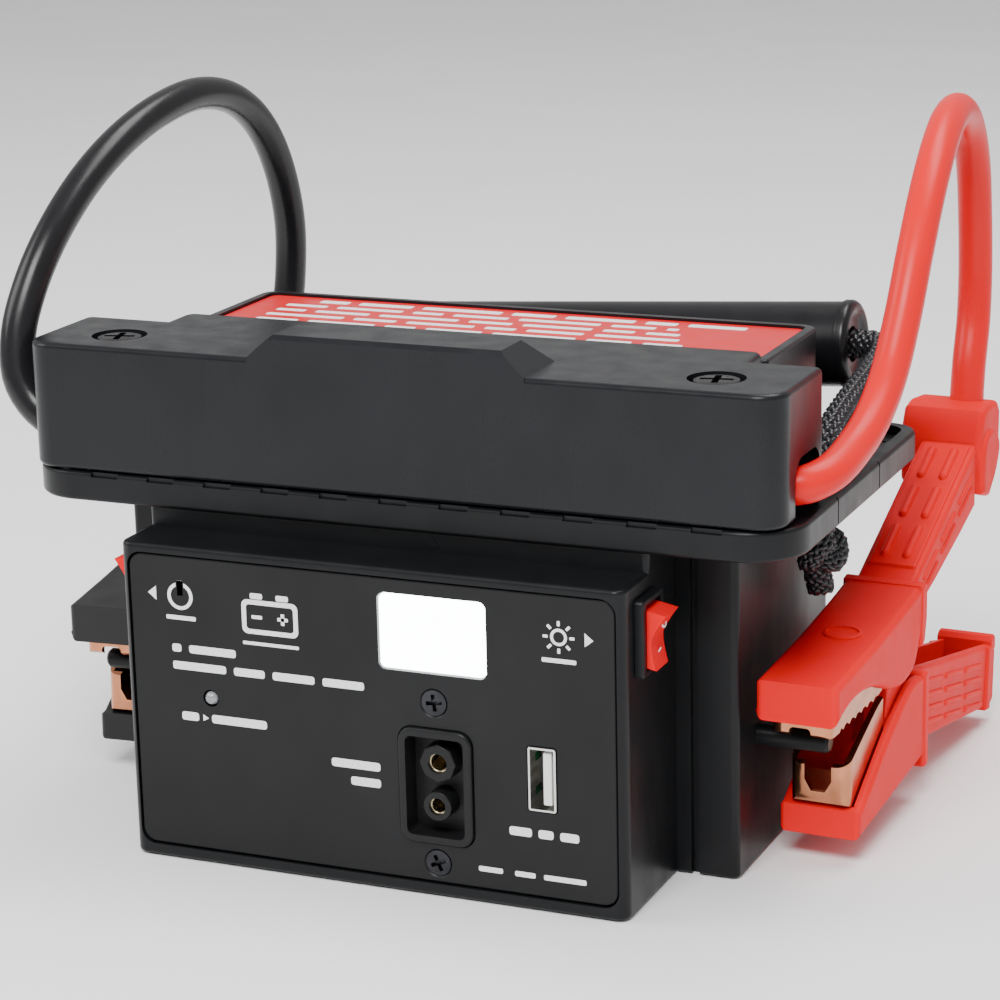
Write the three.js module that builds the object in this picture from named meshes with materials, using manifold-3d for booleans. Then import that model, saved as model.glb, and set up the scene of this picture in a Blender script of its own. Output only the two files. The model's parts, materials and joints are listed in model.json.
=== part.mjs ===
// Jump starter pack: a portable 12 V battery pack with a control box on its front, two jump leads
// parked on its sides, a moulded front cover over the cable ends and a rope carry handle.
// Millimetres, +Z up, -Y is the front. The origin is the middle of the flat base.

import * as THREE from 'three';
import { mergeVertices } from 'three/addons/utils/BufferGeometryUtils.js';
import Module from 'manifold-3d';

const wasm = await Module();
wasm.setup();

// ---------------------------------------------------------------------------------------------
// Driving dimensions
// ---------------------------------------------------------------------------------------------

const GAP = 0.3; // clearance kept between pieces that touch
const WALL = 2.2; // wall of the moulded casings
const PAST = 5; // how far a cutter runs past the face that it opens
const ROUND = 24; // sides of a turned piece
const FINE = 32; // sides of a large turned piece
const COARSE = 14; // sides of a small or hidden turned piece
const CORNER_STEPS = 5; // chords in a rounded corner

// Main case: the tub that holds the battery, and the flange round its top.
const TUB = { x: 68.2, front: -21.6, back: 38.5, floor: 3 };
const FLANGE = { x: 84.5, front: -38.4, back: 55, bottom: 71.8, top: 78.1, frontR: 12, backR: 8 };
const TRAY = { rim: 3, depth: 2 };
const WINDOW = { x: 47, front: -34.4, back: 33 };
const POST = { width: 12, groove: 1.7, grooveDepth: 1.6, inset: 9.2 };
const SEAM = { width: 0.6, depth: 0.6, ys: [-8, 21] };

// Parking pegs that the clamps bite.
const PEG = { length: 15.2, y: -8.6, z: 26.8, r: 2.2 };

// Control box on the front of the tub.
const BOX = { x: 55, front: -50, back: -21.9, top: 67.7, cornerR: 2.2 };
const NECK = { front: -36.8, top: 71.5 };
const PANEL = { x: 53, bottom: 2.8, top: 65.6, cornerR: 3, thick: 2, recess: 0.35, ledge: 2 };

// What the front panel carries.
const LIGHT = { x: [3.1, 25.8], z: [47, 62.3], r: 1.2, thick: 3 };
const PANEL_SCREW = { x: 14.5, zs: { upper: 40.7, lower: 6.9 }, headR: 2.7, shankR: 1.4, length: 9 };
const CHARGER = { x: 14.6, z: 23.2, w: 16, h: 24.2, r: 3, proud: 0.9, depth: 12.5, cavity: 5, lip: 1.7 };
const SLEEVES = [
  { name: 'upper', dx: 0.4, dz: 4.9, seatR: 3.9, seatSides: 8, r: 2.55, bore: 1.75 },
  { name: 'lower', dx: 0.1, dz: -4.2, seatR: 3.0, seatSides: 20, r: 2.2, bore: 1.5 },
];
const USB = { x: 37.4, z: 27.5, w: 5.9, h: 13.3, wall: 0.45, depth: 13, tongueW: 1.8, tongueH: 10.9 };
const WARNING = { x: -35.4, z: 36, r: 1.5, proud: 0.8 };
const BOARD = { x: 39, z: [6, 62], front: -36.1, thick: 1.6 };
const RELAY = { x: [-40, -22], z: [9, 29], depth: 9.5 };

// Rocker switches in the side walls of the control box.
const SWITCH = { y: -38.8, z: 56.4, w: 11.6, h: 15.8, flange: 1.6, body: 11, cutW: 9.4, cutH: 13.6 };
const ROCKER = { w: 7.4, h: 11.6, depth: 6.5, proud: 2.6, restDeg: 11, wingRise: 2.4 };

// Battery, its terminals and the leads to them.
const BATTERY = { x: 45, front: -32.5, back: 31.5, bottom: 3.3, height: 89.4 };
const TERMINAL = { x: 33, y: -22, w: 12, d: 11, h: 4.6, boltR: 2.4, headR: 4.2, headH: 3 };
const LUG = { ringR: 5.2, thick: 1.6, barrelR: 4.6, barrelLength: 9 };

// Front cover and the lid behind it.
const COVER = { x: 82.4, front: -38.4, endBack: -11, back: -1.6, midX: [-63, 67], bottom: 78.4, top: 105, r: 6 };
const HUMP = { top: 110, base: [-30, 30.5], crown: [-24, 25.5], back: -22.5, crownBack: -27.5 };
const COVER_SCREW = { x: 65.7, y: -26.7, seatR: 5.8, seatDepth: 2.4, headR: 4.9, headH: 1.9, shankR: 2, postR: 4.6 };
const EXIT = { y: [-29.4, -13.6], height: 12 };
const LID = { x: [-62.5, 67.5], front: -1.2, back: 34.5, bottom: 78.4, top: 102, rim: 1, rimWidth: 2.2, r: 3.5 };
const LABEL = { thick: 0.4, margin: 0.3 };

// Jump leads.
const CABLE = { r: 3.8, sides: 10 };
const SADDLE = { x: [72.6, 78.6], y: [-29, -17], height: 11.4, slack: 0.35 };

// Carry handle: a rope through a tubular grip.
const ROPE = { r: 3.2, sides: 10, x: 76, y: 7, pivotZ: 80.5, holeR: 4.3 };
const GRIP = { left: [-49.5, 52, 88.3], right: [70.5, 52, 95.4], r: 9.2, bore: 3.9, lipR: 9.7, lip: 2.6 };
const KNOT = { neckR: 3, neckTop: 76.9, r: 6.3, middle: 62.4, tailR: 3, tailEnd: 53 };

// Jump clamps. Each is drawn about its pivot: -Y to the jaws, +Y to the handles.
const CLAMP = { jawX: 8.7, handleX: 6.6, innerX: 6.7, earX: 6.3, wall: 2, pivotR: 2.5, pivotHoleR: 2.8 };
const CLAMPS = {
  red: { pivot: [81.9, 24, 38], yawDeg: -2.9, biteDeg: 0 },
  black: { pivot: [-81.3, 24, 38], yawDeg: 5, biteDeg: -3 },
};
const JAW = { x: 6.3, sheet: 1.3, notch: 2.2, toothPitch: 4, toothDepth: 0.8 };
const SPRING = { coilR: 4.1, wireR: 0.65, turns: 3, halfLength: 3, stepsPerTurn: 14, sides: 6 };
const UPPER_JAW = {
  topFront: [-41.6, 1.4],
  bite: [[-41.6, -6.6], [-13.6, -7.4]],
  topBack: [[-13.6, 1], [-30, 1]],
  room: [[-40.3, -30], [0, -30], [0, 0.2], [-40.3, 0.2]],
  notch: [-30, -4.6],
};
const LOWER_JAW = {
  side: [[-31.3, -25.8], [-28, -25.8], [-20, -28.6], [-9.3, -27.4], [-9.3, -8.6], [-12, -9.4], [-31.3, -17]],
  room: [[-30, -24.5], [-27.8, -24.5], [-19.8, -27.3], [0, -25.1], [0, 10], [-30, 10]],
  notch: [-22.6, 0],
};
const PAD = { rows: 3, columns: 2, length: 9.5, width: 2.1, rise: 0.55, pitch: 12, spacing: 5, start: 15.5 };
const RAIL = { width: 1.3, rise: 0.45 };
const UPPER_RAILS = { count: 3, length: 9.5, start: 15, pitch: 12, levels: [7.4, 10], slope: 0.44 };
const LOWER_RAILS = {
  count: 3, length: 12.2, start: 17, pitch: 14.2, levels: [-13, -16.1, -19.2, -22.3], slope: -0.218,
};

// Routes of the free leads, from the cover's end wall up over the side and down to the clamp.
const RED_ROUTE = [
  [78.8, -25, 84.3], [82, -24.9, 84.5], [86, -19.5, 85.8], [88, -8, 89], [88.9, 1, 93], [89.5, 9.6, 99.6],
  [90, 16.6, 109], [90.2, 25, 121.4], [89.8, 35, 131.6], [88.9, 47, 139.3], [87.6, 60, 143.4], [86.4, 72.6, 143.4],
  [85.6, 83, 138.6], [85.2, 90.2, 129.4], [85, 93.6, 117], [85.1, 94.4, 103], [85.3, 92.6, 93], [85.5, 88.8, 84.5],
  [85.6, 87, 78.2],
];
const BLACK_ROUTE = [
  [-78.8, -25, 84.3], [-83, -26, 85.1], [-88.4, -25.6, 88.6], [-91.8, -25, 94], [-93, -22.6, 102.4],
  [-92.6, -18, 111.2], [-91.6, -10.4, 120.6], [-90.4, 2, 130.4], [-89, 16, 137.8], [-87.6, 32, 142.8],
  [-86.4, 49, 144.6], [-85.6, 64, 141.6], [-85.2, 76.4, 134], [-85, 85, 122.6], [-84.9, 89.6, 108], [-85.4, 89.6, 94],
  [-86, 87.6, 84], [-86.2, 85.9, 77.7],
];

const COLOURS = {
  caseBlack: [0x131314, 0.42, 0],
  coverBlack: [0x161617, 0.38, 0],
  panelBlack: [0x19191a, 0.45, 0],
  red: [0xd8201c, 0.4, 0],
  redRubber: [0xe0221d, 0.45, 0],
  blackRubber: [0x101011, 0.5, 0],
  labelRed: [0xcf1420, 0.35, 0],
  lens: [0xf4f8ff, 0.25, 0],
  clear: [0xbfc3c7, 0.2, 0],
  steel: [0xb9bcc0, 0.3, 1],
  zinc: [0x3a3b3e, 0.35, 1],
  copper: [0xc98a63, 0.3, 1],
  brass: [0xb99b4a, 0.3, 1],
  board: [0x1f5a34, 0.6, 0],
  batteryGrey: [0x2c2d30, 0.6, 0],
  white: [0xf2f2f0, 0.4, 0],
  rope: [0x1a1a1b, 0.9, 0],
};

// ---------------------------------------------------------------------------------------------
// Shape helpers
// ---------------------------------------------------------------------------------------------

const rad = THREE.MathUtils.degToRad;

function solid(geometry) {
  const bare = geometry.clone();
  bare.deleteAttribute('normal');
  bare.deleteAttribute('uv');
  const merged = mergeVertices(bare, 1e-4);
  return new wasm.Manifold(new wasm.Mesh({
    numProp: 3,
    vertProperties: Float32Array.from(merged.getAttribute('position').array),
    triVerts: Uint32Array.from(merged.getIndex().array),
  }));
}

function geometryOf(body) {
  const mesh = body.getMesh();
  const geometry = new THREE.BufferGeometry();
  geometry.setAttribute('position', new THREE.BufferAttribute(Float32Array.from(mesh.vertProperties), 3));
  geometry.setIndex(new THREE.BufferAttribute(Uint32Array.from(mesh.triVerts), 1));
  return geometry;
}

const join = (first, ...others) => others.reduce((body, next) => body.add(next), first);
const cut = (first, ...others) => others.reduce((body, next) => body.subtract(next), first);

function block([x0, x1], [y0, y1], [z0, z1]) {
  const geometry = new THREE.BoxGeometry(x1 - x0, y1 - y0, z1 - z0);
  return solid(geometry.translate((x0 + x1) / 2, (y0 + y1) / 2, (z0 + z1) / 2));
}

function extrude(shape, depth) {
  return new THREE.ExtrudeGeometry(shape, { depth, bevelEnabled: false, curveSegments: CORNER_STEPS });
}

// A prism standing on Z, from an outline in X and Y.
function prismZ(shape, [z0, z1]) {
  return solid(extrude(shape, z1 - z0).translate(0, 0, z0));
}

// A prism along Y, from an outline in X and Z.
function prismY(shape, [y0, y1]) {
  return solid(extrude(shape, y1 - y0).rotateX(Math.PI / 2).translate(0, y1, 0));
}

// A prism along X, from an outline in Y and Z.
function prismX(shape, [x0, x1]) {
  const turn = new THREE.Matrix4().set(0, 0, 1, 0, 1, 0, 0, 0, 0, 1, 0, 0, 0, 0, 0, 1);
  return solid(extrude(shape, x1 - x0).applyMatrix4(turn).translate(x0, 0, 0));
}

function outline(points) {
  return new THREE.Shape(points.map(([u, v]) => new THREE.Vector2(u, v)));
}

// A rectangle with corner radii given from the low-u, low-v corner, anticlockwise.
function roundedRect([u0, u1], [v0, v1], radii) {
  const radius = Array.isArray(radii) ? radii : [radii, radii, radii, radii];
  const corners = [[u0, v0, 1, 1], [u1, v0, -1, 1], [u1, v1, -1, -1], [u0, v1, 1, -1]];
  const points = [];
  corners.forEach(([u, v, inU, inV], corner) => {
    const r = radius[corner];
    const chords = r > 0 ? CORNER_STEPS : 0;
    for (let i = 0; i <= chords; i += 1) {
      const angle = Math.PI * (1 + corner / 2) + (chords ? (i / chords) * (Math.PI / 2) : 0);
      points.push([u + inU * r + r * Math.cos(angle), v + inV * r + r * Math.sin(angle)]);
    }
  });
  return outline(points);
}

function rodZ(x, y, [z0, z1], r, sides = ROUND) {
  const geometry = new THREE.CylinderGeometry(r, r, z1 - z0, sides);
  return solid(geometry.rotateX(Math.PI / 2).translate(x, y, (z0 + z1) / 2));
}

function rodY(x, z, [y0, y1], r, sides = ROUND) {
  const geometry = new THREE.CylinderGeometry(r, r, y1 - y0, sides);
  return solid(geometry.translate(x, (y0 + y1) / 2, z));
}

function rodX(y, z, [x0, x1], r, sides = ROUND) {
  const geometry = new THREE.CylinderGeometry(r, r, x1 - x0, sides);
  return solid(geometry.rotateZ(Math.PI / 2).translate((x0 + x1) / 2, y, z));
}

// A turned piece on Z, from a closed outline of radius and height.
function turned(points, x, y, sides = ROUND) {
  const profile = points.map(([r, z]) => new THREE.Vector2(r, z));
  return solid(new THREE.LatheGeometry(profile, sides).rotateX(Math.PI / 2).translate(x, y, 0));
}

// A round tube or wire along a smooth curve.
function alongCurve(curve, r, sides, steps) {
  const section = new THREE.Shape(Array.from({ length: sides }, (_, i) => {
    const angle = (i / sides) * 2 * Math.PI;
    return new THREE.Vector2(r * Math.cos(angle), r * Math.sin(angle));
  }));
  return new THREE.ExtrudeGeometry(section, { steps, bevelEnabled: false, extrudePath: curve });
}

function smooth(points) {
  return new THREE.CatmullRomCurve3(points.map((p) => new THREE.Vector3(...p)), false, 'centripetal');
}

function cordTube(points, r, sides) {
  const curve = smooth(points);
  const steps = Math.min(78, Math.ceil(curve.getLength() / (r * 2)));
  return alongCurve(curve, r, sides, steps);
}

const materials = Object.fromEntries(Object.entries(COLOURS).map(([name, [color, roughness, metalness]]) => [
  name, new THREE.MeshStandardMaterial({ name, color, roughness, metalness }),
]));

const pack = new THREE.Group();

function addPiece(name, shape, material, parent = pack) {
  const geometry = shape.isBufferGeometry ? shape : geometryOf(shape);
  const mesh = new THREE.Mesh(geometry, materials[material]);
  mesh.name = name;
  parent.add(mesh);
  return mesh;
}

// ---------------------------------------------------------------------------------------------
// Main case
// ---------------------------------------------------------------------------------------------

function makeMainCase() {
  const flange = prismZ(
    roundedRect([-FLANGE.x, FLANGE.x], [FLANGE.front, FLANGE.back],
      [FLANGE.frontR, FLANGE.frontR, FLANGE.backR, FLANGE.backR]),
    [FLANGE.bottom, FLANGE.top],
  );
  const tub = block([-TUB.x, TUB.x], [TUB.front, TUB.back], [0, FLANGE.bottom + 1]);
  const inside = block(
    [-TUB.x + WALL, TUB.x - WALL], [TUB.front + WALL, TUB.back - WALL], [TUB.floor, FLANGE.bottom - 1],
  );
  const window = block([-WINDOW.x, WINDOW.x], [WINDOW.front, WINDOW.back], [TUB.floor, FLANGE.top + PAST]);
  let body = cut(join(flange, tub), inside, window);

  // The tray round the lid is lower than the flange's rim.
  const trayFloor = FLANGE.top - TRAY.depth;
  const tray = prismZ(
    roundedRect([-FLANGE.x + TRAY.rim, FLANGE.x - TRAY.rim], [COVER.endBack + GAP, FLANGE.back - TRAY.rim],
      [1, 1, FLANGE.backR - TRAY.rim, FLANGE.backR - TRAY.rim]),
    [trayFloor, FLANGE.top + PAST],
  );
  const lidSeat = block(
    [LID.x[0], LID.x[1]], [COVER.endBack - PAST, LID.back], [trayFloor - 1, FLANGE.top + PAST],
  );
  body = cut(body, cut(tray, lidSeat));

  for (const side of [-1, 1]) {
    body = cut(body, rodZ(side * ROPE.x, ROPE.y, [FLANGE.bottom - PAST, FLANGE.top + PAST], ROPE.holeR));
    body = cut(body, rodZ(
      side * COVER_SCREW.x, COVER_SCREW.y, [FLANGE.bottom - PAST, FLANGE.top + PAST],
      COVER_SCREW.shankR + GAP, COARSE,
    ));
    for (const y of SEAM.ys) {
      const face = side * FLANGE.x;
      body = cut(body, block(
        [face - SEAM.depth, face + SEAM.depth], [y - SEAM.width / 2, y + SEAM.width / 2],
        [FLANGE.bottom - 1, FLANGE.top + 1],
      ));
    }
    // An upright groove down each front post of the tub.
    const grooveX = side * (TUB.x - POST.inset);
    body = cut(body, block(
      [grooveX - POST.groove / 2, grooveX + POST.groove / 2], [TUB.front - 1, TUB.front + POST.grooveDepth],
      [-1, FLANGE.bottom],
    ));
    const pegX = side > 0 ? [TUB.x - 1, TUB.x + PEG.length] : [-TUB.x - PEG.length, -TUB.x + 1];
    body = join(body, rodX(PEG.y, PEG.z, pegX, PEG.r));
  }
  addPiece('main_case', body, 'caseBlack');
}

// ---------------------------------------------------------------------------------------------
// Control box and what its panel carries
// ---------------------------------------------------------------------------------------------

function makeControlBox() {
  const plan = (z) => prismZ(
    roundedRect([-BOX.x, BOX.x], [BOX.front, BOX.back], [BOX.cornerR, BOX.cornerR, 0, 0]), z,
  );
  const low = plan([0, BOX.top]);
  const neck = block([-BOX.x, BOX.x], [NECK.front, BOX.back], [BOX.top - 1, NECK.top]);
  const inside = join(
    block([-BOX.x + WALL, BOX.x - WALL], [BOX.front + WALL + 1, BOX.back + PAST], [WALL, BOX.top - WALL]),
    block([-BOX.x + WALL, BOX.x - WALL], [NECK.front + WALL, BOX.back + PAST], [WALL, NECK.top + PAST]),
  );
  const panelSeat = prismY(
    roundedRect([-PANEL.x - GAP, PANEL.x + GAP], [PANEL.bottom - GAP, PANEL.top + GAP], PANEL.cornerR + GAP),
    [BOX.front - PAST, BOX.front + PANEL.recess + PANEL.thick + GAP],
  );
  const opening = block(
    [-PANEL.x + PANEL.ledge, PANEL.x - PANEL.ledge], [BOX.front - PAST, BOX.front + PAST],
    [PANEL.bottom + PANEL.ledge, PANEL.top - PANEL.ledge],
  );
  let body = cut(join(low, neck), inside, panelSeat, opening);
  for (const side of [-1, 1]) {
    const [near, far] = [side * (BOX.x - WALL - 1), side * (BOX.x + 1)];
    body = cut(body, block(
      [Math.min(near, far), Math.max(near, far)],
      [SWITCH.y - SWITCH.cutW / 2 - GAP, SWITCH.y + SWITCH.cutW / 2 + GAP],
      [SWITCH.z - SWITCH.cutH / 2 - GAP, SWITCH.z + SWITCH.cutH / 2 + GAP],
    ));
  }
  addPiece('control_box', body, 'caseBlack');
}

const PANEL_FACE = BOX.front + PANEL.recess;
const PANEL_BACK = PANEL_FACE + PANEL.thick;

function makePanel() {
  const through = [PANEL_FACE - PAST, PANEL_BACK + PAST];
  let body = prismY(
    roundedRect([-PANEL.x, PANEL.x], [PANEL.bottom, PANEL.top], PANEL.cornerR), [PANEL_FACE, PANEL_BACK],
  );
  const lightHole = roundedRect(
    [LIGHT.x[0] - GAP, LIGHT.x[1] + GAP], [LIGHT.z[0] - GAP, LIGHT.z[1] + GAP], LIGHT.r + GAP,
  );
  body = cut(body, prismY(lightHole, through));
  body = cut(body, prismY(chargerOutline(GAP), through));
  body = cut(body, prismY(usbOutline(GAP), through));
  body = cut(body, rodY(WARNING.x, WARNING.z, through, WARNING.r + GAP, COARSE));
  for (const z of Object.values(PANEL_SCREW.zs)) {
    body = cut(body, rodY(PANEL_SCREW.x, z, through, PANEL_SCREW.shankR + GAP, COARSE));
    body = cut(body, screwCone(z, GAP));
  }
  addPiece('front_panel', body, 'panelBlack');
}

// A countersunk head whose flat face lies just under the panel's face.
function screwCone(z, grow) {
  const depth = PANEL_SCREW.headR - PANEL_SCREW.shankR;
  const geometry = new THREE.CylinderGeometry(
    PANEL_SCREW.shankR + grow, PANEL_SCREW.headR + grow, depth, ROUND,
  );
  return solid(geometry.translate(PANEL_SCREW.x, PANEL_FACE + 0.1 + depth / 2 - grow / 2, z));
}

// Four slots cut across one another into a screw's head.
function crossRecess(width, reach, depth) {
  return join(
    block([-reach, reach], [-width / 2, width / 2], [-depth, depth]),
    block([-width / 2, width / 2], [-reach, reach], [-depth, depth]),
  );
}

function makePanelScrews() {
  for (const [name, z] of Object.entries(PANEL_SCREW.zs)) {
    const shank = rodY(PANEL_SCREW.x, z, [PANEL_FACE + 0.5, PANEL_FACE + PANEL_SCREW.length],
      PANEL_SCREW.shankR, COARSE);
    const slots = crossRecess(0.8, 1.7, 0.9).rotate([90, 0, 0]).translate([PANEL_SCREW.x, PANEL_FACE + 0.1, z]);
    addPiece(`panel_screw_${name}`, cut(join(screwCone(z, 0), shank), slots), 'zinc');
  }
}

function chargerOutline(grow) {
  return roundedRect(
    [CHARGER.x - CHARGER.w / 2 - grow, CHARGER.x + CHARGER.w / 2 + grow],
    [CHARGER.z - CHARGER.h / 2 - grow, CHARGER.z + CHARGER.h / 2 + grow], CHARGER.r + grow,
  );
}

function makeCharger() {
  const front = PANEL_FACE - CHARGER.proud;
  const cavityFloor = front + CHARGER.cavity;
  const cavity = prismY(chargerOutline(-CHARGER.lip), [front - PAST, cavityFloor]);
  let body = cut(prismY(chargerOutline(0), [front, front + CHARGER.depth]), cavity);
  for (const sleeve of SLEEVES) {
    const [x, z] = [CHARGER.x + sleeve.dx, CHARGER.z + sleeve.dz];
    body = join(body, rodY(x, z, [front + 0.6, cavityFloor + 1], sleeve.seatR, sleeve.seatSides));
    body = cut(body, rodY(x, z, [front - PAST, front + CHARGER.depth + PAST], sleeve.r + GAP));
    const tube = rodY(x, z, [front + 0.4, front + CHARGER.depth + 1], sleeve.r);
    const bore = rodY(x, z, [front - PAST, front + CHARGER.depth - 2], sleeve.bore);
    addPiece(`charger_sleeve_${sleeve.name}`, cut(tube, bore), 'brass');
  }
  addPiece('charger_socket', body, 'caseBlack');
}

function usbOutline(grow) {
  return roundedRect(
    [USB.x - USB.w / 2 - grow, USB.x + USB.w / 2 + grow], [USB.z - USB.h / 2 - grow, USB.z + USB.h / 2 + grow],
    0.5 + grow,
  );
}

function makeUsb() {
  const back = PANEL_FACE + USB.depth;
  const shell = cut(
    prismY(usbOutline(0), [PANEL_FACE - 0.2, back]), prismY(usbOutline(-USB.wall), [PANEL_FACE - PAST, back - 1]),
  );
  addPiece('usb_shell', shell, 'steel');
  const tongueRight = USB.x + USB.w / 2 - USB.wall - GAP - 0.4;
  addPiece('usb_tongue', block(
    [tongueRight - USB.tongueW, tongueRight], [PANEL_FACE + 0.5, back - 1 - GAP],
    [USB.z - USB.tongueH / 2, USB.z + USB.tongueH / 2],
  ), 'white');
}

function makeLights() {
  const lens = roundedRect(LIGHT.x, LIGHT.z, LIGHT.r);
  addPiece('light_lens', prismY(lens, [PANEL_FACE + 0.1, PANEL_FACE + LIGHT.thick]), 'lens');
  addPiece('light_board', block(
    [LIGHT.x[0] - 2, LIGHT.x[1] + 2], [PANEL_FACE + LIGHT.thick + 2, PANEL_FACE + LIGHT.thick + 3.6],
    [LIGHT.z[0] + 1, LIGHT.z[1] - 1],
  ), 'board');
  const dome = [[0, 0], [WARNING.r, 0], [WARNING.r, 2.4], [WARNING.r * 0.72, 3.2], [0, 3.6]];
  addPiece('warning_led', turned(dome, 0, 0, COARSE)
    .rotate([90, 0, 0]).translate([WARNING.x, PANEL_FACE + 3.6 - WARNING.proud, WARNING.z]), 'clear');
}

function makeBoard() {
  const holes = [];
  for (const z of Object.values(PANEL_SCREW.zs)) {
    holes.push(rodY(PANEL_SCREW.x, z, [BOARD.front - 1, BOARD.front + PAST], PANEL_SCREW.shankR + GAP, COARSE));
  }
  const plate = block([-BOARD.x, BOARD.x], [BOARD.front, BOARD.front + BOARD.thick], BOARD.z);
  addPiece('control_board', cut(plate, ...holes), 'board');
  addPiece('main_relay', block(RELAY.x, [BOARD.front - GAP - RELAY.depth, BOARD.front - GAP], RELAY.z), 'batteryGrey');
}

// ---------------------------------------------------------------------------------------------
// Rocker switches
// ---------------------------------------------------------------------------------------------

// Drawn on the right wall: +X out of the box, the rocker turning about Y. The left one is turned round.
function makeSwitch(name, side) {
  const group = new THREE.Group();
  group.position.set(side * BOX.x, SWITCH.y, SWITCH.z);
  group.rotation.z = side > 0 ? 0 : Math.PI;
  pack.add(group);

  const bezel = prismX(
    roundedRect([-SWITCH.w / 2, SWITCH.w / 2], [-SWITCH.h / 2, SWITCH.h / 2], 1), [GAP, GAP + SWITCH.flange],
  );
  const body = block([-SWITCH.body, 1], [-SWITCH.cutW / 2, SWITCH.cutW / 2], [-SWITCH.cutH / 2, SWITCH.cutH / 2]);
  const well = block(
    [-ROCKER.depth, PAST], [-ROCKER.w / 2 - GAP, ROCKER.w / 2 + GAP], [-ROCKER.h / 2 - 0.9, ROCKER.h / 2 + 0.9],
  );
  addPiece(`${name}_body`, cut(join(bezel, body), well), 'caseBlack', group);

  // The key is shallow V shaped across its travel and is tipped to one end of it.
  const half = ROCKER.h / 2;
  const key = prismX(outline([[-ROCKER.w / 2, -half], [ROCKER.w / 2, -half], [ROCKER.w / 2, half],
    [-ROCKER.w / 2, half]]), [-2.2, ROCKER.proud + ROCKER.wingRise]);
  const dip = prismY(outline([[ROCKER.proud + ROCKER.wingRise, -half - 1], [PAST * 2, -half - 1],
    [PAST * 2, half + 1], [ROCKER.proud + ROCKER.wingRise, half + 1], [ROCKER.proud, 0]]),
  [-ROCKER.w, ROCKER.w]);
  const rocker = addPiece(`${name}_rocker`, cut(key, dip), 'red', group);
  rocker.rotation.y = rad(ROCKER.restDeg);
}

// ---------------------------------------------------------------------------------------------
// Battery, terminals and inner leads
// ---------------------------------------------------------------------------------------------

function makeBattery() {
  const top = BATTERY.bottom + BATTERY.height;
  const body = block([-BATTERY.x, BATTERY.x], [BATTERY.front, BATTERY.back], [BATTERY.bottom, top]);
  addPiece('battery', body, 'batteryGrey');
  for (const [pole, side] of [['positive', 1], ['negative', -1]]) {
    const [x, y] = [side * TERMINAL.x, TERMINAL.y];
    const blockTop = top + GAP + TERMINAL.h;
    const post = cut(
      block([x - TERMINAL.w / 2, x + TERMINAL.w / 2], [y - TERMINAL.d / 2, y + TERMINAL.d / 2],
        [top + GAP, blockTop]),
      rodZ(x, y, [top + 2, blockTop + 1], TERMINAL.boltR + GAP, COARSE),
    );
    addPiece(`terminal_${pole}`, post, 'steel');

    const lugZ = blockTop + GAP;
    const ring = cut(
      rodZ(x, y, [lugZ, lugZ + LUG.thick], LUG.ringR),
      rodZ(x, y, [lugZ - 1, lugZ + LUG.thick + 1], TERMINAL.boltR + GAP, COARSE),
    );
    const neckX = [x + side * 3.5, x + side * (LUG.ringR + 4)].sort((a, b) => a - b);
    const neck = cut(block(neckX, [y - 3, y + 3], [lugZ, lugZ + LUG.thick]),
      rodZ(x, y, [lugZ - 1, lugZ + LUG.thick + 1], TERMINAL.headR, COARSE));
    const barrelX = [x + side * (LUG.ringR + 3), x + side * (LUG.ringR + 3 + LUG.barrelLength)]
      .sort((a, b) => a - b);
    const barrelZ = lugZ - 0.1;
    const barrel = cut(
      rodX(y, barrelZ, barrelX, LUG.barrelR),
      rodX(y, barrelZ, [barrelX[0] + (side > 0 ? 2 : -1), barrelX[1] + (side > 0 ? 1 : -2)], CABLE.r + GAP),
      block([x - TERMINAL.w / 2 - GAP, x + TERMINAL.w / 2 + GAP], [y - TERMINAL.d, y + TERMINAL.d],
        [BATTERY.bottom, blockTop + GAP]),
    );
    const colour = pole === 'positive' ? 'red' : 'black';
    addPiece(`${colour}_lug`, join(ring, neck, barrel), 'copper');

    const bolt = join(
      rodZ(x, y, [top + 2.6, lugZ + LUG.thick + GAP + 0.5], TERMINAL.boltR, COARSE),
      rodZ(x, y, [lugZ + LUG.thick + GAP, lugZ + LUG.thick + GAP + TERMINAL.headH], TERMINAL.headR - GAP, 6),
    );
    addPiece(`terminal_bolt_${pole}`, bolt, 'steel');

    const start = x + side * (LUG.ringR + 3 + LUG.barrelLength - 5);
    const route = [
      [start, y, barrelZ], [start + side * 4, y, barrelZ], [start + side * 8, y, barrelZ], [side * 60.5, -18, 92.5],
      [side * 65, -17, 87.6], [side * 69.4, -17.8, 85.3], [side * 72.8, -20.6, 84.6], [side * 75.8, -23.2, 84.4],
    ];
    addPiece(`${colour}_inner_lead`, cordTube(route, CABLE.r, CABLE.sides),
      colour === 'red' ? 'redRubber' : 'blackRubber');
  }
}

// ---------------------------------------------------------------------------------------------
// Front cover, lid and label
// ---------------------------------------------------------------------------------------------

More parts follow.
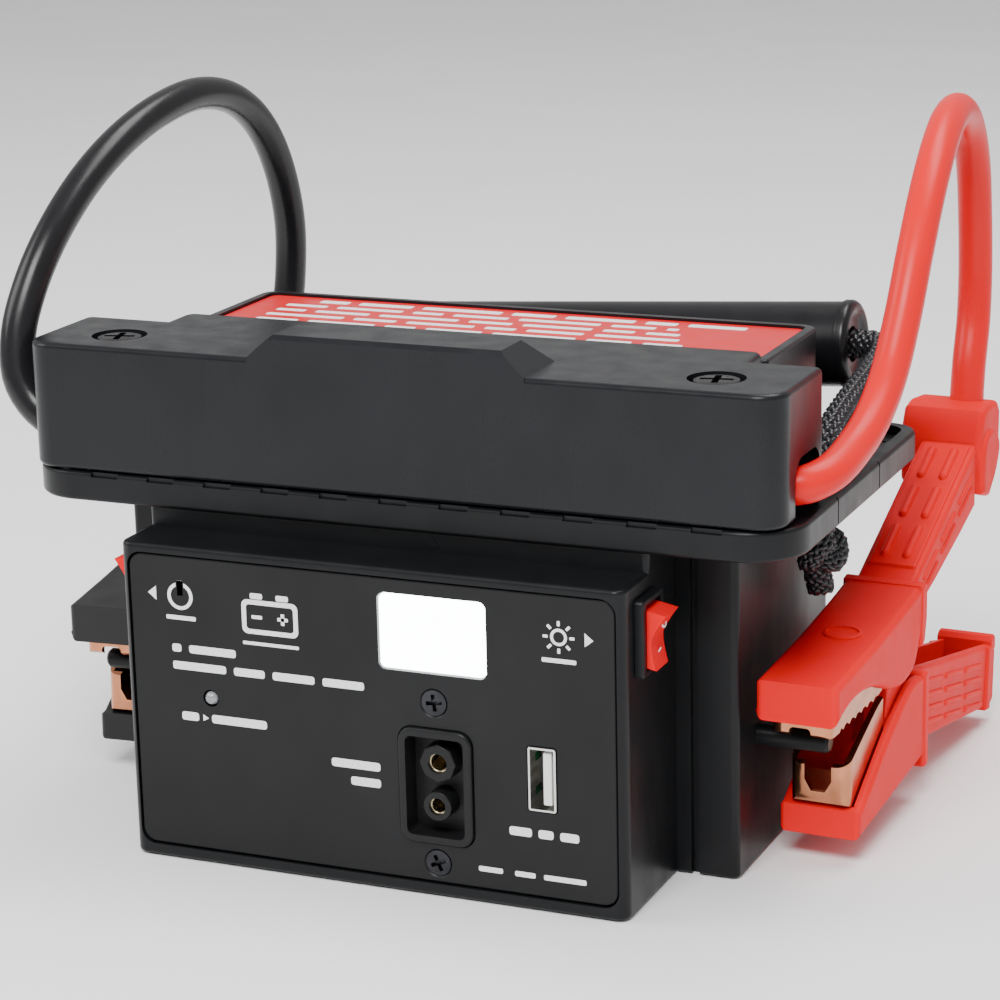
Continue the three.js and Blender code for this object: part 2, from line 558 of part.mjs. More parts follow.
function makeCover() {
  const ends = prismZ(
    roundedRect([-COVER.x, COVER.x], [COVER.front, COVER.endBack], [COVER.r, COVER.r, 2, 2]),
    [COVER.bottom, COVER.top],
  );
  const middle = prismZ(
    roundedRect(COVER.midX, [COVER.front + COVER.r, COVER.back], [0, 0, 2, 2]), [COVER.bottom, COVER.top],
  );
  const humpAcross = prismY(outline([
    [HUMP.base[0], COVER.top - 1], [HUMP.base[1], COVER.top - 1], [HUMP.base[1], COVER.top],
    [HUMP.crown[1], HUMP.top], [HUMP.crown[0], HUMP.top], [HUMP.base[0], COVER.top],
  ]), [COVER.front, HUMP.back]);
  const humpAlong = prismX(outline([
    [COVER.front, COVER.top - 1], [HUMP.back, COVER.top - 1], [HUMP.back, COVER.top],
    [HUMP.crownBack, HUMP.top], [COVER.front, HUMP.top],
  ]), [HUMP.base[0] - 1, HUMP.base[1] + 1]);
  const hump = humpAcross.intersect(humpAlong);

  const ceiling = COVER.top - WALL;
  const endRoom = block(
    [-COVER.x + WALL, COVER.x - WALL], [COVER.front + WALL, COVER.endBack - WALL], [COVER.bottom - 1, ceiling],
  );
  const middleRoom = block(
    [COVER.midX[0] + WALL, COVER.midX[1] - WALL], [COVER.front + WALL, COVER.back + PAST],
    [COVER.bottom - 1, ceiling],
  );
  let body = cut(join(ends, middle, hump), endRoom, middleRoom);
  for (const side of [-1, 1]) {
    const [x, y] = [side * COVER_SCREW.x, COVER_SCREW.y];
    const seat = COVER.top - COVER_SCREW.seatDepth;
    body = join(body, rodZ(x, y, [COVER.bottom, ceiling + 1], COVER_SCREW.postR));
    body = join(body, rodZ(x, y, [seat - WALL, ceiling + 1], COVER_SCREW.seatR + 1.6));
    body = cut(body, rodZ(x, y, [seat, COVER.top + 1], COVER_SCREW.seatR, FINE));
    body = cut(body, rodZ(x, y, [COVER.bottom - 1, COVER.top + 1], COVER_SCREW.shankR + GAP, COARSE));
    const wall = [side * (COVER.x - WALL - 1), side * (COVER.x + 1)].sort((a, b) => a - b);
    body = cut(body, block(wall, EXIT.y, [COVER.bottom - 1, COVER.bottom + EXIT.height]));
  }
  addPiece('front_cover', body, 'coverBlack');
}

function makeCoverScrews() {
  for (const [name, side] of [['left', -1], ['right', 1]]) {
    const [x, y] = [side * COVER_SCREW.x, COVER_SCREW.y];
    const underHead = COVER.top - COVER_SCREW.seatDepth + GAP;
    const headTop = underHead + COVER_SCREW.headH;
    const head = rodZ(x, y, [underHead, headTop], COVER_SCREW.headR, FINE);
    const shank = rodZ(x, y, [FLANGE.bottom - 2, underHead + 0.5], COVER_SCREW.shankR, COARSE);
    const slots = crossRecess(1.5, 3.2, 1.2).rotate([0, 0, 12]).translate([x, y, headTop]);
    addPiece(`cover_screw_${name}`, cut(join(head, shank), slots), 'zinc');
  }
}

function makeSaddles() {
  for (const [name, side] of [['left', -1], ['right', 1]]) {
    const x = [side * SADDLE.x[0], side * SADDLE.x[1]].sort((a, b) => a - b);
    const body = block(x, SADDLE.y, [FLANGE.top + GAP, FLANGE.top + GAP + SADDLE.height]);
    const start = new THREE.Vector3(side * 70, -18.6, 84.9);
    const finish = new THREE.Vector3(side * 81, -26.6, 84.1);
    const channel = solid(alongCurve(new THREE.LineCurve3(start, finish), CABLE.r + SADDLE.slack + 0.7, ROUND, 1));
    addPiece(`cable_saddle_${name}`, cut(body, channel), 'blackRubber');
  }
}

function makeLid() {
  const plan = (grow, z) => prismZ(
    roundedRect([LID.x[0] - grow, LID.x[1] + grow], [LID.front - grow, LID.back + grow],
      [0.5, 0.5, LID.r + grow, LID.r + grow]), z,
  );
  const room = block(
    [LID.x[0] + WALL, LID.x[1] - WALL], [LID.front - PAST, LID.back - WALL], [LID.bottom - 1, LID.top - WALL],
  );
  const field = plan(-LID.rimWidth, [LID.top, LID.top + PAST]);
  addPiece('battery_lid', cut(plan(0, [LID.bottom, LID.top + LID.rim]), room, field), 'coverBlack');
  const edge = -LID.rimWidth - LABEL.margin;
  addPiece('warning_label', plan(edge, [LID.top + GAP, LID.top + GAP + LABEL.thick]), 'labelRed');
}

// ---------------------------------------------------------------------------------------------
// Rope handle
// ---------------------------------------------------------------------------------------------

function makeHandle() {
  const left = new THREE.Vector3(...GRIP.left);
  const right = new THREE.Vector3(...GRIP.right);
  const length = left.distanceTo(right);
  const grip = new THREE.Group();
  grip.position.copy(left).lerp(right, 0.5);
  grip.rotation.y = -Math.atan2(right.z - left.z, right.x - left.x);
  pack.add(grip);
  const half = length / 2;
  const tube = new THREE.LatheGeometry([
    [GRIP.bore, -half], [GRIP.r - 1.2, -half], [GRIP.lipR - 0.3, -half + 0.9], [GRIP.lipR, -half + GRIP.lip],
    [GRIP.r, -half + GRIP.lip + 1.4], [GRIP.r, half - GRIP.lip - 1.4], [GRIP.lipR, half - GRIP.lip],
    [GRIP.lipR - 0.3, half - 0.9], [GRIP.r - 1.2, half], [GRIP.bore, half], [GRIP.bore, -half],
  ].map(([r, z]) => new THREE.Vector2(r, z)), FINE).rotateZ(-Math.PI / 2);
  addPiece('handle_grip', solid(tube), 'blackRubber', grip);

  const legs = ropeRoute(left, right);
  const ends = [legs[0], legs[legs.length - 1]].map((p) => solid(
    new THREE.SphereGeometry(ROPE.r - 0.2, 12, 7).translate(p[0], p[1], p[2] + 0.4),
  ));
  const rope = join(solid(cordTube(legs, ROPE.r, ROPE.sides)), ...ends);
  addPiece('handle_rope', rope, 'rope');

  const knot = [[0, KNOT.tailEnd], [KNOT.tailR, KNOT.tailEnd]];
  for (let i = 0; i <= 6; i += 1) {
    const angle = rad(-62 + (i * 124) / 6);
    knot.push([KNOT.r * Math.cos(angle), KNOT.middle + KNOT.r * Math.sin(angle)]);
  }
  knot.push([KNOT.neckR, KNOT.neckTop], [0, KNOT.neckTop]);
  for (const [name, side] of [['left', -1], ['right', 1]]) {
    addPiece(`rope_knot_${name}`, turned(knot, side * ROPE.x, ROPE.y, ROUND), 'rope');
  }
}

// From the left flange hole, through the grip, to the right flange hole.
function ropeRoute(left, right) {
  const along = right.clone().sub(left).normalize();
  const at = (from, distance) => from.clone().addScaledVector(along, distance).toArray();
  return [
    [-ROPE.x, ROPE.y, ROPE.pivotZ], [-76.4, 12, 84.6], [-76, 22, 86.6], [-73.4, 33, 87],
    [-68, 43, 87], [-61, 49.6, 87.1], at(left, -4), at(left, 6), at(left, 40), at(left, 80),
    at(right, -6), at(right, 1.5), [76.3, 50.4, 95.3], [77.6, 45, 94.2], [77.4, 36, 91.8], [76.8, 24, 89],
    [76.3, 13, 85.4], [ROPE.x, ROPE.y, ROPE.pivotZ],
  ];
}

// ---------------------------------------------------------------------------------------------
// Jump clamps
// ---------------------------------------------------------------------------------------------

const UPPER_SIDE = [
  [-44, 4.2], [-44, -4], [-39, -2], [-32, -1], [-20, -2.5], [-9, -6.8], [1, -7], [5.5, -5], [7.5, -1],
  [11, 3.6], [24, 7.4], [41, 13.1], [51.7, 17], [51.7, 30.9], [11, 11.6], [8, 9.6],
];
const UPPER_ROOM = [[-42, -20], [49.7, -20], [49.7, 27.6], [11.6, 9.4], [8.4, 7.3], [-42, 2]];
const LOWER_SIDE = [
  [-30.5, -32.6], [10.5, -28], [10.5, -29.4], [13.5, -29.4], [14.5, -26], [60, -33.6], [66.5, -34.3],
  [69, -21], [69, -18.4], [65.4, -18.4], [65.2, -19.8], [16, -9.6], [4, -9.4], [-7, -13.4], [-22, -22],
  [-28.4, -26.2], [-30.5, -26.3],
];
const LOWER_ROOM = [[-28.5, -30.2], [9.8, -25.8], [14.5, -23.4], [59.6, -31.2], [64.2, -31.6], [66.4, 10], [-28.5, 10]];
const LOWER_EAR = [[-8, -14], [6, -13], [5.6, -3], [4, 4], [0, 5.4], [-4, 4], [-6, -3]];
const BOOT_SIDE = [
  [52, 17.6], [56.6, 20], [62.8, 23.6], [66.6, 29], [66.8, 36], [65.2, 38.2], [58.4, 38.9], [54.6, 38.2], [52, 33.2],
];
const BOOT_X = [-11.4, 7.4];

function planWidths(jawX, handleX, [from, to]) {
  return outline([
    [-jawX, -50], [jawX, -50], [jawX, from], [handleX, to], [handleX, 80], [-handleX, 80], [-handleX, to],
    [-jawX, from],
  ]);
}

// Teeth along a jaw's biting edge, from one end of it to the other.
function teeth([y0, z0], [y1, z1], direction) {
  const count = Math.floor(Math.abs(y1 - y0) / JAW.toothPitch);
  const points = [];
  for (let i = 0; i < count; i += 1) {
    const [a, b] = [i / count, (i + 0.5) / count];
    points.push([y0 + (y1 - y0) * a, z0 + (z1 - z0) * a]);
    points.push([y0 + (y1 - y0) * b, z0 + (z1 - z0) * b + direction * JAW.toothDepth]);
  }
  points.push([y1, z1]);
  return points;
}

// A sheet-metal jaw: two toothed walls, a web between them and a notched front.
function makeJaw(side, room, notchZ) {
  const bodyShape = prismX(outline(side), [-JAW.x, JAW.x]);
  const inner = prismX(outline(room), [-JAW.x + JAW.sheet, JAW.x - JAW.sheet]);
  const frontY = Math.min(...side.map(([y]) => y));
  const notch = block([-JAW.notch, JAW.notch], [frontY - 1, frontY + JAW.sheet + 1], notchZ);
  return cut(bodyShape, inner, notch);
}

// Adds short raised rails in rows along both sides of a handle.
function withRails(shape, { count, length, start, pitch, levels, slope }) {
  let result = shape;
  for (const side of [-1, 1]) {
    for (const level of levels) {
      for (let i = 0; i < count; i += 1) {
        const y = start + i * pitch;
        const x = side * CLAMP.handleX;
        const rail = block([x - RAIL.rise, x + RAIL.rise], [0, length], [-RAIL.width / 2, RAIL.width / 2]);
        result = join(result, rail.rotate([THREE.MathUtils.radToDeg(Math.atan(slope)), 0, 0])
          .translate([0, y, level + (y - start) * slope]));
      }
    }
  }
  return result;
}

function makeClamp(colour, { pivot, yawDeg, biteDeg }) {
  const name = `${colour}_clamp`;
  const plastic = colour === 'red' ? 'red' : 'blackRubber';
  const clamp = new THREE.Group();
  clamp.position.set(...pivot);
  clamp.rotation.z = rad(yawDeg);
  pack.add(clamp);

  const pin = rodX(0, 0, [-CLAMP.jawX - PAST, CLAMP.jawX + PAST], CLAMP.pivotHoleR);
  const roomPlan = prismZ(
    planWidths(CLAMP.innerX, CLAMP.handleX - CLAMP.wall, [8, 11]), [-60, 60],
  );

  // Upper arm, with raised pads along the handle.
  const upperPlan = prismZ(planWidths(CLAMP.jawX, CLAMP.handleX, [8, 11]), [-60, 60]);
  let upper = prismX(outline(UPPER_SIDE), [-CLAMP.jawX, CLAMP.jawX]).intersect(upperPlan);
  upper = cut(upper, prismX(outline(UPPER_ROOM), [-CLAMP.jawX, CLAMP.jawX]).intersect(roomPlan), pin);
  const slope = Math.atan2(31.5 - 11.6, 53 - 11);
  for (let row = 0; row < PAD.rows; row += 1) {
    for (let column = 0; column < PAD.columns; column += 1) {
      const middle = PAD.start + row * PAD.pitch;
      const x = (column - (PAD.columns - 1) / 2) * PAD.spacing;
      const pad = block([x - PAD.width / 2, x + PAD.width / 2], [-PAD.length / 2, PAD.length / 2],
        [-1, PAD.rise]);
      const [dy, dz] = [middle + PAD.length / 2 - 11, Math.tan(slope)];
      upper = join(upper, pad.rotate([THREE.MathUtils.radToDeg(slope), 0, 0])
        .translate([0, middle + PAD.length / 2, 11.6 + dy * dz]));
    }
  }
  addPiece(`${name}_upper_arm`, upper, plastic, clamp);

  upper = withRails(upper, UPPER_RAILS);

  const upperJaw = makeJaw(
    [UPPER_JAW.topFront, ...teeth(...UPPER_JAW.bite, -1), ...UPPER_JAW.topBack], UPPER_JAW.room, UPPER_JAW.notch,
  );
  addPiece(`${name}_upper_jaw`, upperJaw, 'copper', clamp);

  addPiece(`${name}_cable_boot`, prismX(outline(BOOT_SIDE), BOOT_X), plastic, clamp);
  addPiece(`${name}_pivot_pin`, rodX(0, 0, [-CLAMP.jawX, CLAMP.jawX], CLAMP.pivotR), 'steel', clamp);

  const coil = new THREE.CatmullRomCurve3(Array.from(
    { length: SPRING.turns * 12 + 1 },
    (_, i) => {
      const angle = (i / 12) * 2 * Math.PI;
      const x = -SPRING.halfLength + (2 * SPRING.halfLength * i) / (SPRING.turns * 12);
      return new THREE.Vector3(x, SPRING.coilR * Math.cos(angle), SPRING.coilR * Math.sin(angle));
    },
  ));
  addPiece(`${name}_spring`,
    alongCurve(coil, SPRING.wireR, SPRING.sides, SPRING.turns * SPRING.stepsPerTurn), 'steel', clamp);

  // Lower arm, turned about the pivot to where it bites.
  const lowerGroup = new THREE.Group();
  lowerGroup.rotation.x = rad(biteDeg);
  clamp.add(lowerGroup);
  const lowerPlan = prismZ(planWidths(CLAMP.jawX, CLAMP.handleX, [10.5, 14.5]), [-60, 60]);
  let lower = prismX(outline(LOWER_SIDE), [-CLAMP.jawX, CLAMP.jawX]).intersect(lowerPlan);
  lower = join(lower, prismX(outline(LOWER_EAR), [-CLAMP.earX, CLAMP.earX]));
  const lowerRoomPlan = prismZ(planWidths(CLAMP.earX - CLAMP.wall, CLAMP.handleX - CLAMP.wall, [10.5, 14.5]),
    [-60, 60]);
  const jawRoom = block([-CLAMP.innerX, CLAMP.innerX], [-28.5, -9], [-29.6, 20]);
  const room = prismX(outline(LOWER_ROOM), [-CLAMP.jawX, CLAMP.jawX]);
  lower = cut(lower, room.intersect(lowerRoomPlan), jawRoom.intersect(room), pin);
  lower = withRails(lower, LOWER_RAILS);
  addPiece(`${name}_lower_arm`, lower, plastic, lowerGroup);

  const lowerJaw = makeJaw(
    LOWER_JAW.side, LOWER_JAW.room, LOWER_JAW.notch,
  );
  addPiece(`${name}_lower_jaw`, lowerJaw, 'copper', lowerGroup);
}

// ---------------------------------------------------------------------------------------------
// Assembly
// ---------------------------------------------------------------------------------------------

makeMainCase();
makeControlBox();
makePanel();
makePanelScrews();
makeCharger();
makeUsb();
makeLights();
makeBoard();
makeSwitch('light_switch', 1);
makeSwitch('main_switch', -1);
makeBattery();
makeCover();
makeCoverScrews();
makeSaddles();
makeLid();
makeHandle();
for (const [colour, placing] of Object.entries(CLAMPS)) {
  makeClamp(colour, placing);
}
addPiece('red_cable', cordTube(RED_ROUTE, CABLE.r, CABLE.sides), 'redRubber');
addPiece('black_cable', cordTube(BLACK_ROUTE, CABLE.r, CABLE.sides), 'blackRubber');

export default pack;
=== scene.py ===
"""Looks of the jump starter pack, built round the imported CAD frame. Metres, +Z up, -Y is the front."""

import json
import math

import bmesh
import bpy
from mathutils import Matrix, Vector


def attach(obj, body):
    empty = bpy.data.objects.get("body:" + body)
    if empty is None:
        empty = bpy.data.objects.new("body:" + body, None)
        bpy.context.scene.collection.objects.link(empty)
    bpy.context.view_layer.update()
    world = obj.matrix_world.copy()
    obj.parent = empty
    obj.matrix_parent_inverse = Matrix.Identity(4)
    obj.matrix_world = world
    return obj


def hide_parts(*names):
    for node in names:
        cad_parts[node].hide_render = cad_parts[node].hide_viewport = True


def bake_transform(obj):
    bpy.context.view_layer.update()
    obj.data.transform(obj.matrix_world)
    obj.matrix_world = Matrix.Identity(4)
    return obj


MM = 0.001

# Camera
LENS_MM = 108.7
SENSOR_MM = 36
CAMERA_AT = (0.25159, -0.5612, 0.23612)
CAMERA_HEADING_DEG = 23.44
CAMERA_DIP_DEG = 15.3
CAMERA_ROLL_DEG = -1.33

# Jump leads
LEAD_DIAMETER = 0.0076
LEAD_SIDES = 28
RED_ROUTE = [
    (78.8, -25, 84.3), (82, -24.9, 84.5), (86, -19.5, 85.8), (88, -8, 89), (88.9, 1, 93), (89.5, 9.6, 99.6),
    (90, 16.6, 109), (90.2, 25, 121.4), (89.8, 35, 131.6), (88.9, 47, 139.3), (87.6, 60, 143.4),
    (86.4, 72.6, 143.4), (85.6, 83, 138.6), (85.2, 90.2, 129.4), (85, 93.6, 117), (85.1, 94.4, 103),
    (85.3, 92.6, 93), (85.5, 88.8, 84.5), (85.6, 87, 78.2),
]
BLACK_ROUTE = [
    (-78.8, -25, 84.3), (-83, -26, 85.1), (-88.4, -25.6, 88.6), (-91.8, -25, 94), (-93, -22.6, 102.4),
    (-92.6, -18, 111.2), (-91.6, -10.4, 120.6), (-90.4, 2, 130.4), (-89, 16, 137.8), (-87.6, 32, 142.8),
    (-86.4, 49, 144.6), (-85.6, 64, 141.6), (-85.2, 76.4, 134), (-85, 85, 122.6), (-84.9, 89.6, 108),
    (-85.4, 89.6, 94), (-86, 87.6, 84), (-86.2, 85.9, 77.7),
]

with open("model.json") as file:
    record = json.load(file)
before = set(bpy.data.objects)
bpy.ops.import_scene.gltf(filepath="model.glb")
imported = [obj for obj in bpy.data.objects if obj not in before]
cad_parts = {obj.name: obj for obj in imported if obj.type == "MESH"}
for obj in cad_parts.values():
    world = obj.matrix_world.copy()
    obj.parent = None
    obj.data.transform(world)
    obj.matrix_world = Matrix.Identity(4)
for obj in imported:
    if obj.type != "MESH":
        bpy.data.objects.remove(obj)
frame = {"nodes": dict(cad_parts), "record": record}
NODES = frame["nodes"]
BODY_OF = {n: b for b, members in frame["record"]["behaviour"]["bodies"].items() for n in members}
SLOT_OF = {s["node"]: s["material_slot"] for s in frame["record"]["subparts"]}
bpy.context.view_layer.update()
scene = bpy.context.scene


# ---- Camera ----


def make_camera():
    heading = math.radians(CAMERA_HEADING_DEG)
    dip = math.radians(CAMERA_DIP_DEG)
    roll = math.radians(CAMERA_ROLL_DEG)
    forward = Vector((-math.sin(heading) * math.cos(dip), math.cos(heading) * math.cos(dip), -math.sin(dip)))
    level = Vector((math.cos(heading), math.sin(heading), 0))
    upright = level.cross(forward)
    right = level * math.cos(roll) + upright * math.sin(roll)
    up = upright * math.cos(roll) - level * math.sin(roll)
    data = bpy.data.cameras.new("camera")
    data.sensor_width = SENSOR_MM
    data.lens = LENS_MM
    data.clip_start = 0.01
    data.clip_end = 20
    camera = bpy.data.objects.new("camera", data)
    turn = Matrix((right, up, -forward)).transposed().to_4x4()
    camera.matrix_world = Matrix.Translation(CAMERA_AT) @ turn
    scene.collection.objects.link(camera)
    scene.camera = camera


# ---- Materials ----


class Nodes:
    """One procedural material, with short ways to add and link its shader nodes."""

    def __init__(self, name):
        self.material = bpy.data.materials.new(name)
        self.material.use_nodes = True
        self.tree = self.material.node_tree
        self.shader = self.tree.nodes["Principled BSDF"]
        self.where = self.add("ShaderNodeTexCoord").outputs["Object"]

    def add(self, kind, **settings):
        node = self.tree.nodes.new(kind)
        for key, value in settings.items():
            setattr(node, key, value)
        return node

    def link(self, source, target):
        self.tree.links.new(source, target)

    def noise(self, size_mm, detail=3.0, stretch=None, roughness=0.5):
        """Noise whose features are about size_mm across, optionally stretched along the axes."""
        node = self.add("ShaderNodeTexNoise")
        node.inputs["Scale"].default_value = 1 / (size_mm * MM)
        node.inputs["Detail"].default_value = detail
        node.inputs["Roughness"].default_value = roughness
        vector = self.where
        if stretch:
            mapping = self.add("ShaderNodeMapping")
            mapping.inputs["Scale"].default_value = stretch
            self.link(self.where, mapping.inputs["Vector"])
            vector = mapping.outputs["Vector"]
        self.link(vector, node.inputs["Vector"])
        return node.outputs["Fac"]

    def spread(self, value, low, high, start=0.3, stop=0.7):
        """Maps a 0 to 1 pattern to a range of numbers."""
        node = self.add("ShaderNodeMapRange")
        node.inputs["From Min"].default_value = start
        node.inputs["From Max"].default_value = stop
        node.inputs["To Min"].default_value = low
        node.inputs["To Max"].default_value = high
        self.link(value, node.inputs["Value"])
        return node.outputs["Result"]

    def blend(self, factor, first, second):
        """Mixes two colours."""
        node = self.add("ShaderNodeMix", data_type="RGBA")
        self.link(factor, node.inputs["Factor"])
        node.inputs[6].default_value = (*first, 1)
        node.inputs[7].default_value = (*second, 1)
        return node.outputs[2]

    def colour(self, pattern, first, second, target="Base Color"):
        """Lets a pattern carry the surface from one colour to another."""
        self.link(self.blend(self.spread(pattern, 0, 1), first, second), self.shader.inputs[target])

    def gloss(self, pattern, low, high):
        """Lets a pattern vary the roughness."""
        self.link(self.spread(pattern, low, high), self.shader.inputs["Roughness"])

    def bump(self, *layers):
        """Stacks bumps given as (height, depth in millimetres)."""
        normal = None
        for height, depth_mm in layers:
            node = self.add("ShaderNodeBump")
            node.inputs["Strength"].default_value = 1.0
            node.inputs["Distance"].default_value = depth_mm * MM
            self.link(height, node.inputs["Height"])
            if normal:
                self.link(normal, node.inputs["Normal"])
            normal = node.outputs["Normal"]
        self.link(normal, self.shader.inputs["Normal"])


def shade(colour, share):
    """The same colour, lighter or darker."""
    return tuple(min(1.0, c * share) for c in colour)


def moulded(name, colour, roughness, grain_mm, grain_depth, tint=1.35, spread=0.06, wave=0.0, shine=0.3):
    """Moulded plastic: fine grain, slow changes of tone, smudges in its gloss, and faint sink marks."""
    m = Nodes(name)
    m.colour(m.noise(22, 2), colour, shade(colour, tint))
    m.gloss(m.noise(6, 5, (1, 1, 0.4)), roughness - spread, roughness + spread)
    m.shader.inputs["Specular IOR Level"].default_value = shine
    layers = [(m.noise(grain_mm, 2), grain_depth)]
    if wave:
        layers.append((m.noise(14, 1), wave))
    m.bump(*layers)
    return m.material


def metal(name, colour, roughness, brushed, dark=0.6, depth=0.01, size_mm=1.2):
    """Plated or bare metal with fine scratches and slightly uneven colour."""
    m = Nodes(name)
    scratch = m.noise(size_mm, 6, brushed, 0.65)
    m.colour(m.noise(5, 3), colour, shade(colour, dark))
    m.gloss(scratch, roughness * 0.7, roughness * 1.4)
    m.shader.inputs["Metallic"].default_value = 1.0
    m.bump((scratch, depth))
    return m.material


def printed(name, colour):
    """White screen print with slightly uneven ink."""
    m = Nodes(name)
    ink = m.noise(0.7, 3)
    m.colour(ink, colour, shade(colour, 0.86))
    m.gloss(ink, 0.42, 0.6)
    m.bump((ink, 0.004))
    return m.material


def glowing(name, colour, strength):
    """A frosted lens lit from behind."""
    m = Nodes(name)
    haze = m.noise(3, 3)
    m.gloss(haze, 0.3, 0.45)
    m.shader.inputs["Base Color"].default_value = (*colour, 1)
    m.colour(haze, colour, shade(colour, 0.93), "Emission Color")
    m.shader.inputs["Emission Strength"].default_value = strength
    m.bump((m.noise(0.4, 2), 0.01))
    return m.material


def epoxy(name, colour):
    """A small water-clear LED that isn't lit, seen against its dark cup."""
    m = Nodes(name)
    cloud = m.noise(1.1, 2)
    m.colour(cloud, colour, shade(colour, 0.45))
    m.gloss(cloud, 0.08, 0.16)
    m.shader.inputs["Coat Weight"].default_value = 0.8
    m.bump((cloud, 0.01))
    return m.material


def braid(name, colour, roughness):
    """Shiny synthetic yarn with fine fibres."""
    m = Nodes(name)
    fibre = m.noise(0.3, 4, (1, 1, 0.35), 0.7)
    m.colour(fibre, colour, shade(colour, 1.8))
    m.gloss(fibre, roughness, roughness * 1.6)
    m.bump((fibre, 0.02))
    return m.material


def circuit(name):
    """Green solder mask over faint tracks."""
    m = Nodes(name)
    tracks = m.noise(1.6, 1, (1, 0.2, 1))
    edge = m.spread(tracks, 0, 1, 0.48, 0.52)
    m.link(m.blend(edge, (0.01, 0.09, 0.03), (0.02, 0.16, 0.05)), m.shader.inputs["Base Color"])
    m.gloss(tracks, 0.3, 0.45)
    m.bump((tracks, 0.02))
    return m.material


def make_materials():
    # moulded: colour, roughness, grain size and grain depth in millimetres, then any changes of tone.
    # metal: colour, roughness, how the scratches run, how dark its patches are, scratch depth and size.
    made = [
        moulded("case_plastic", (0.0055, 0.0058, 0.0066), 0.36, 0.45, 0.006, wave=0.01, shine=0.2),
        moulded("cover_plastic", (0.0075, 0.008, 0.0095), 0.3, 0.5, 0.004, wave=0.01, shine=0.22),
        moulded("panel_plastic", (0.0065, 0.0066, 0.0072), 0.4, 0.35, 0.008, shine=0.22),
        moulded("grip_plastic", (0.005, 0.005, 0.006), 0.3, 0.7, 0.004, spread=0.04),
        moulded("red_plastic", (0.76, 0.003, 0.007), 0.5, 0.5, 0.006, 1.03, wave=0.015, shine=0.12),
        moulded("black_clamp_plastic", (0.008, 0.008, 0.0085), 0.36, 0.5, 0.008),
        moulded("red_rubber", (0.72, 0.003, 0.006), 0.32, 0.6, 0.004, 1.03, spread=0.05, shine=0.2),
        moulded("black_rubber", (0.007, 0.007, 0.008), 0.27, 0.6, 0.004, spread=0.05),
        moulded("label_film", (0.6, 0.003, 0.008), 0.3, 0.9, 0.003, 1.05, spread=0.05, shine=0.25),
        moulded("grey_plastic", (0.04, 0.042, 0.046), 0.5, 0.6, 0.02),
        moulded("white_plastic", (0.8, 0.8, 0.78), 0.4, 0.5, 0.008, 1.04),
        metal("dark_zinc", (0.05, 0.05, 0.055), 0.32, (1, 1, 4)),
        metal("nickel_steel", (0.72, 0.71, 0.69), 0.2, (1, 1, 5), 0.8),
        metal("plated_brass", (0.5, 0.42, 0.26), 0.28, (1, 1, 5), 0.8),
        metal("copper", (0.62, 0.25, 0.13), 0.2, (1, 2, 1), 0.72, 0.012, 2.4),
        glowing("lens_plastic", (0.94, 0.97, 1.0), 14.0),
        epoxy("clear_plastic", (0.32, 0.33, 0.35)),
        circuit("circuit_board"),
        braid("rope_braid", (0.01, 0.01, 0.012), 0.24),
        printed("print_white", (0.9, 0.9, 0.9)),
    ]
    # The frame brings its own plain materials of the same names, so these may have got a number.
    return {material.name.split(".")[0]: material for material in made}


# ---- Mesh helpers ----


def add_object(name, mesh, body, material, smooth_deg=35):
    mesh.materials.clear()
    mesh.materials.append(MATERIALS[material])
    piece = bpy.data.objects.new(name, mesh)
    scene.collection.objects.link(piece)
    if smooth_deg is not None:
        mesh.polygons.foreach_set("use_smooth", [True] * len(mesh.polygons))
        mesh.set_sharp_from_angle(angle=math.radians(smooth_deg))
    if body:
        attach(piece, body)
    return piece


def mesh_of(name, build):
    """A mesh made by a function that fills a bmesh."""
    bm = bmesh.new()
    build(bm)
    mesh = bpy.data.meshes.new(name)
    bm.to_mesh(mesh)
    bm.free()
    return mesh


def apply_modifiers(piece):
    depsgraph = bpy.context.evaluated_depsgraph_get()
    mesh = bpy.data.meshes.new_from_object(piece.evaluated_get(depsgraph))
    piece.modifiers.clear()
    piece.data = mesh


def refined(node, bevel_mm):
    """A copy of a CAD node with its flat faces made whole and its edges rounded."""
    mesh = NODES[node].data.copy()
    bm = bmesh.new()
    bm.from_mesh(mesh)
    bmesh.ops.remove_doubles(bm, verts=bm.verts, dist=2e-6)
    bmesh.ops.dissolve_limit(bm, angle_limit=math.radians(0.6), verts=bm.verts, edges=bm.edges)
    bm.to_mesh(mesh)
    bm.free()
    piece = add_object(f"{node}_look", mesh, BODY_OF[node], SLOT_OF[node], None)
    bevel = piece.modifiers.new("round", "BEVEL")
    bevel.width = bevel_mm * MM
    bevel.segments = 3
    bevel.limit_method = "ANGLE"
    bevel.angle_limit = math.radians(30)
    bevel.miter_outer = "MITER_ARC"
    bpy.context.view_layer.update()
    apply_modifiers(piece)
    piece.data.polygons.foreach_set("use_smooth", [True] * len(piece.data.polygons))
    piece.data.set_sharp_from_angle(angle=math.radians(40))
    weighted = piece.modifiers.new("shading", "WEIGHTED_NORMAL")
    weighted.keep_sharp = True
    weighted.weight = 60
    bpy.context.view_layer.update()
    apply_modifiers(piece)
    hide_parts(node)


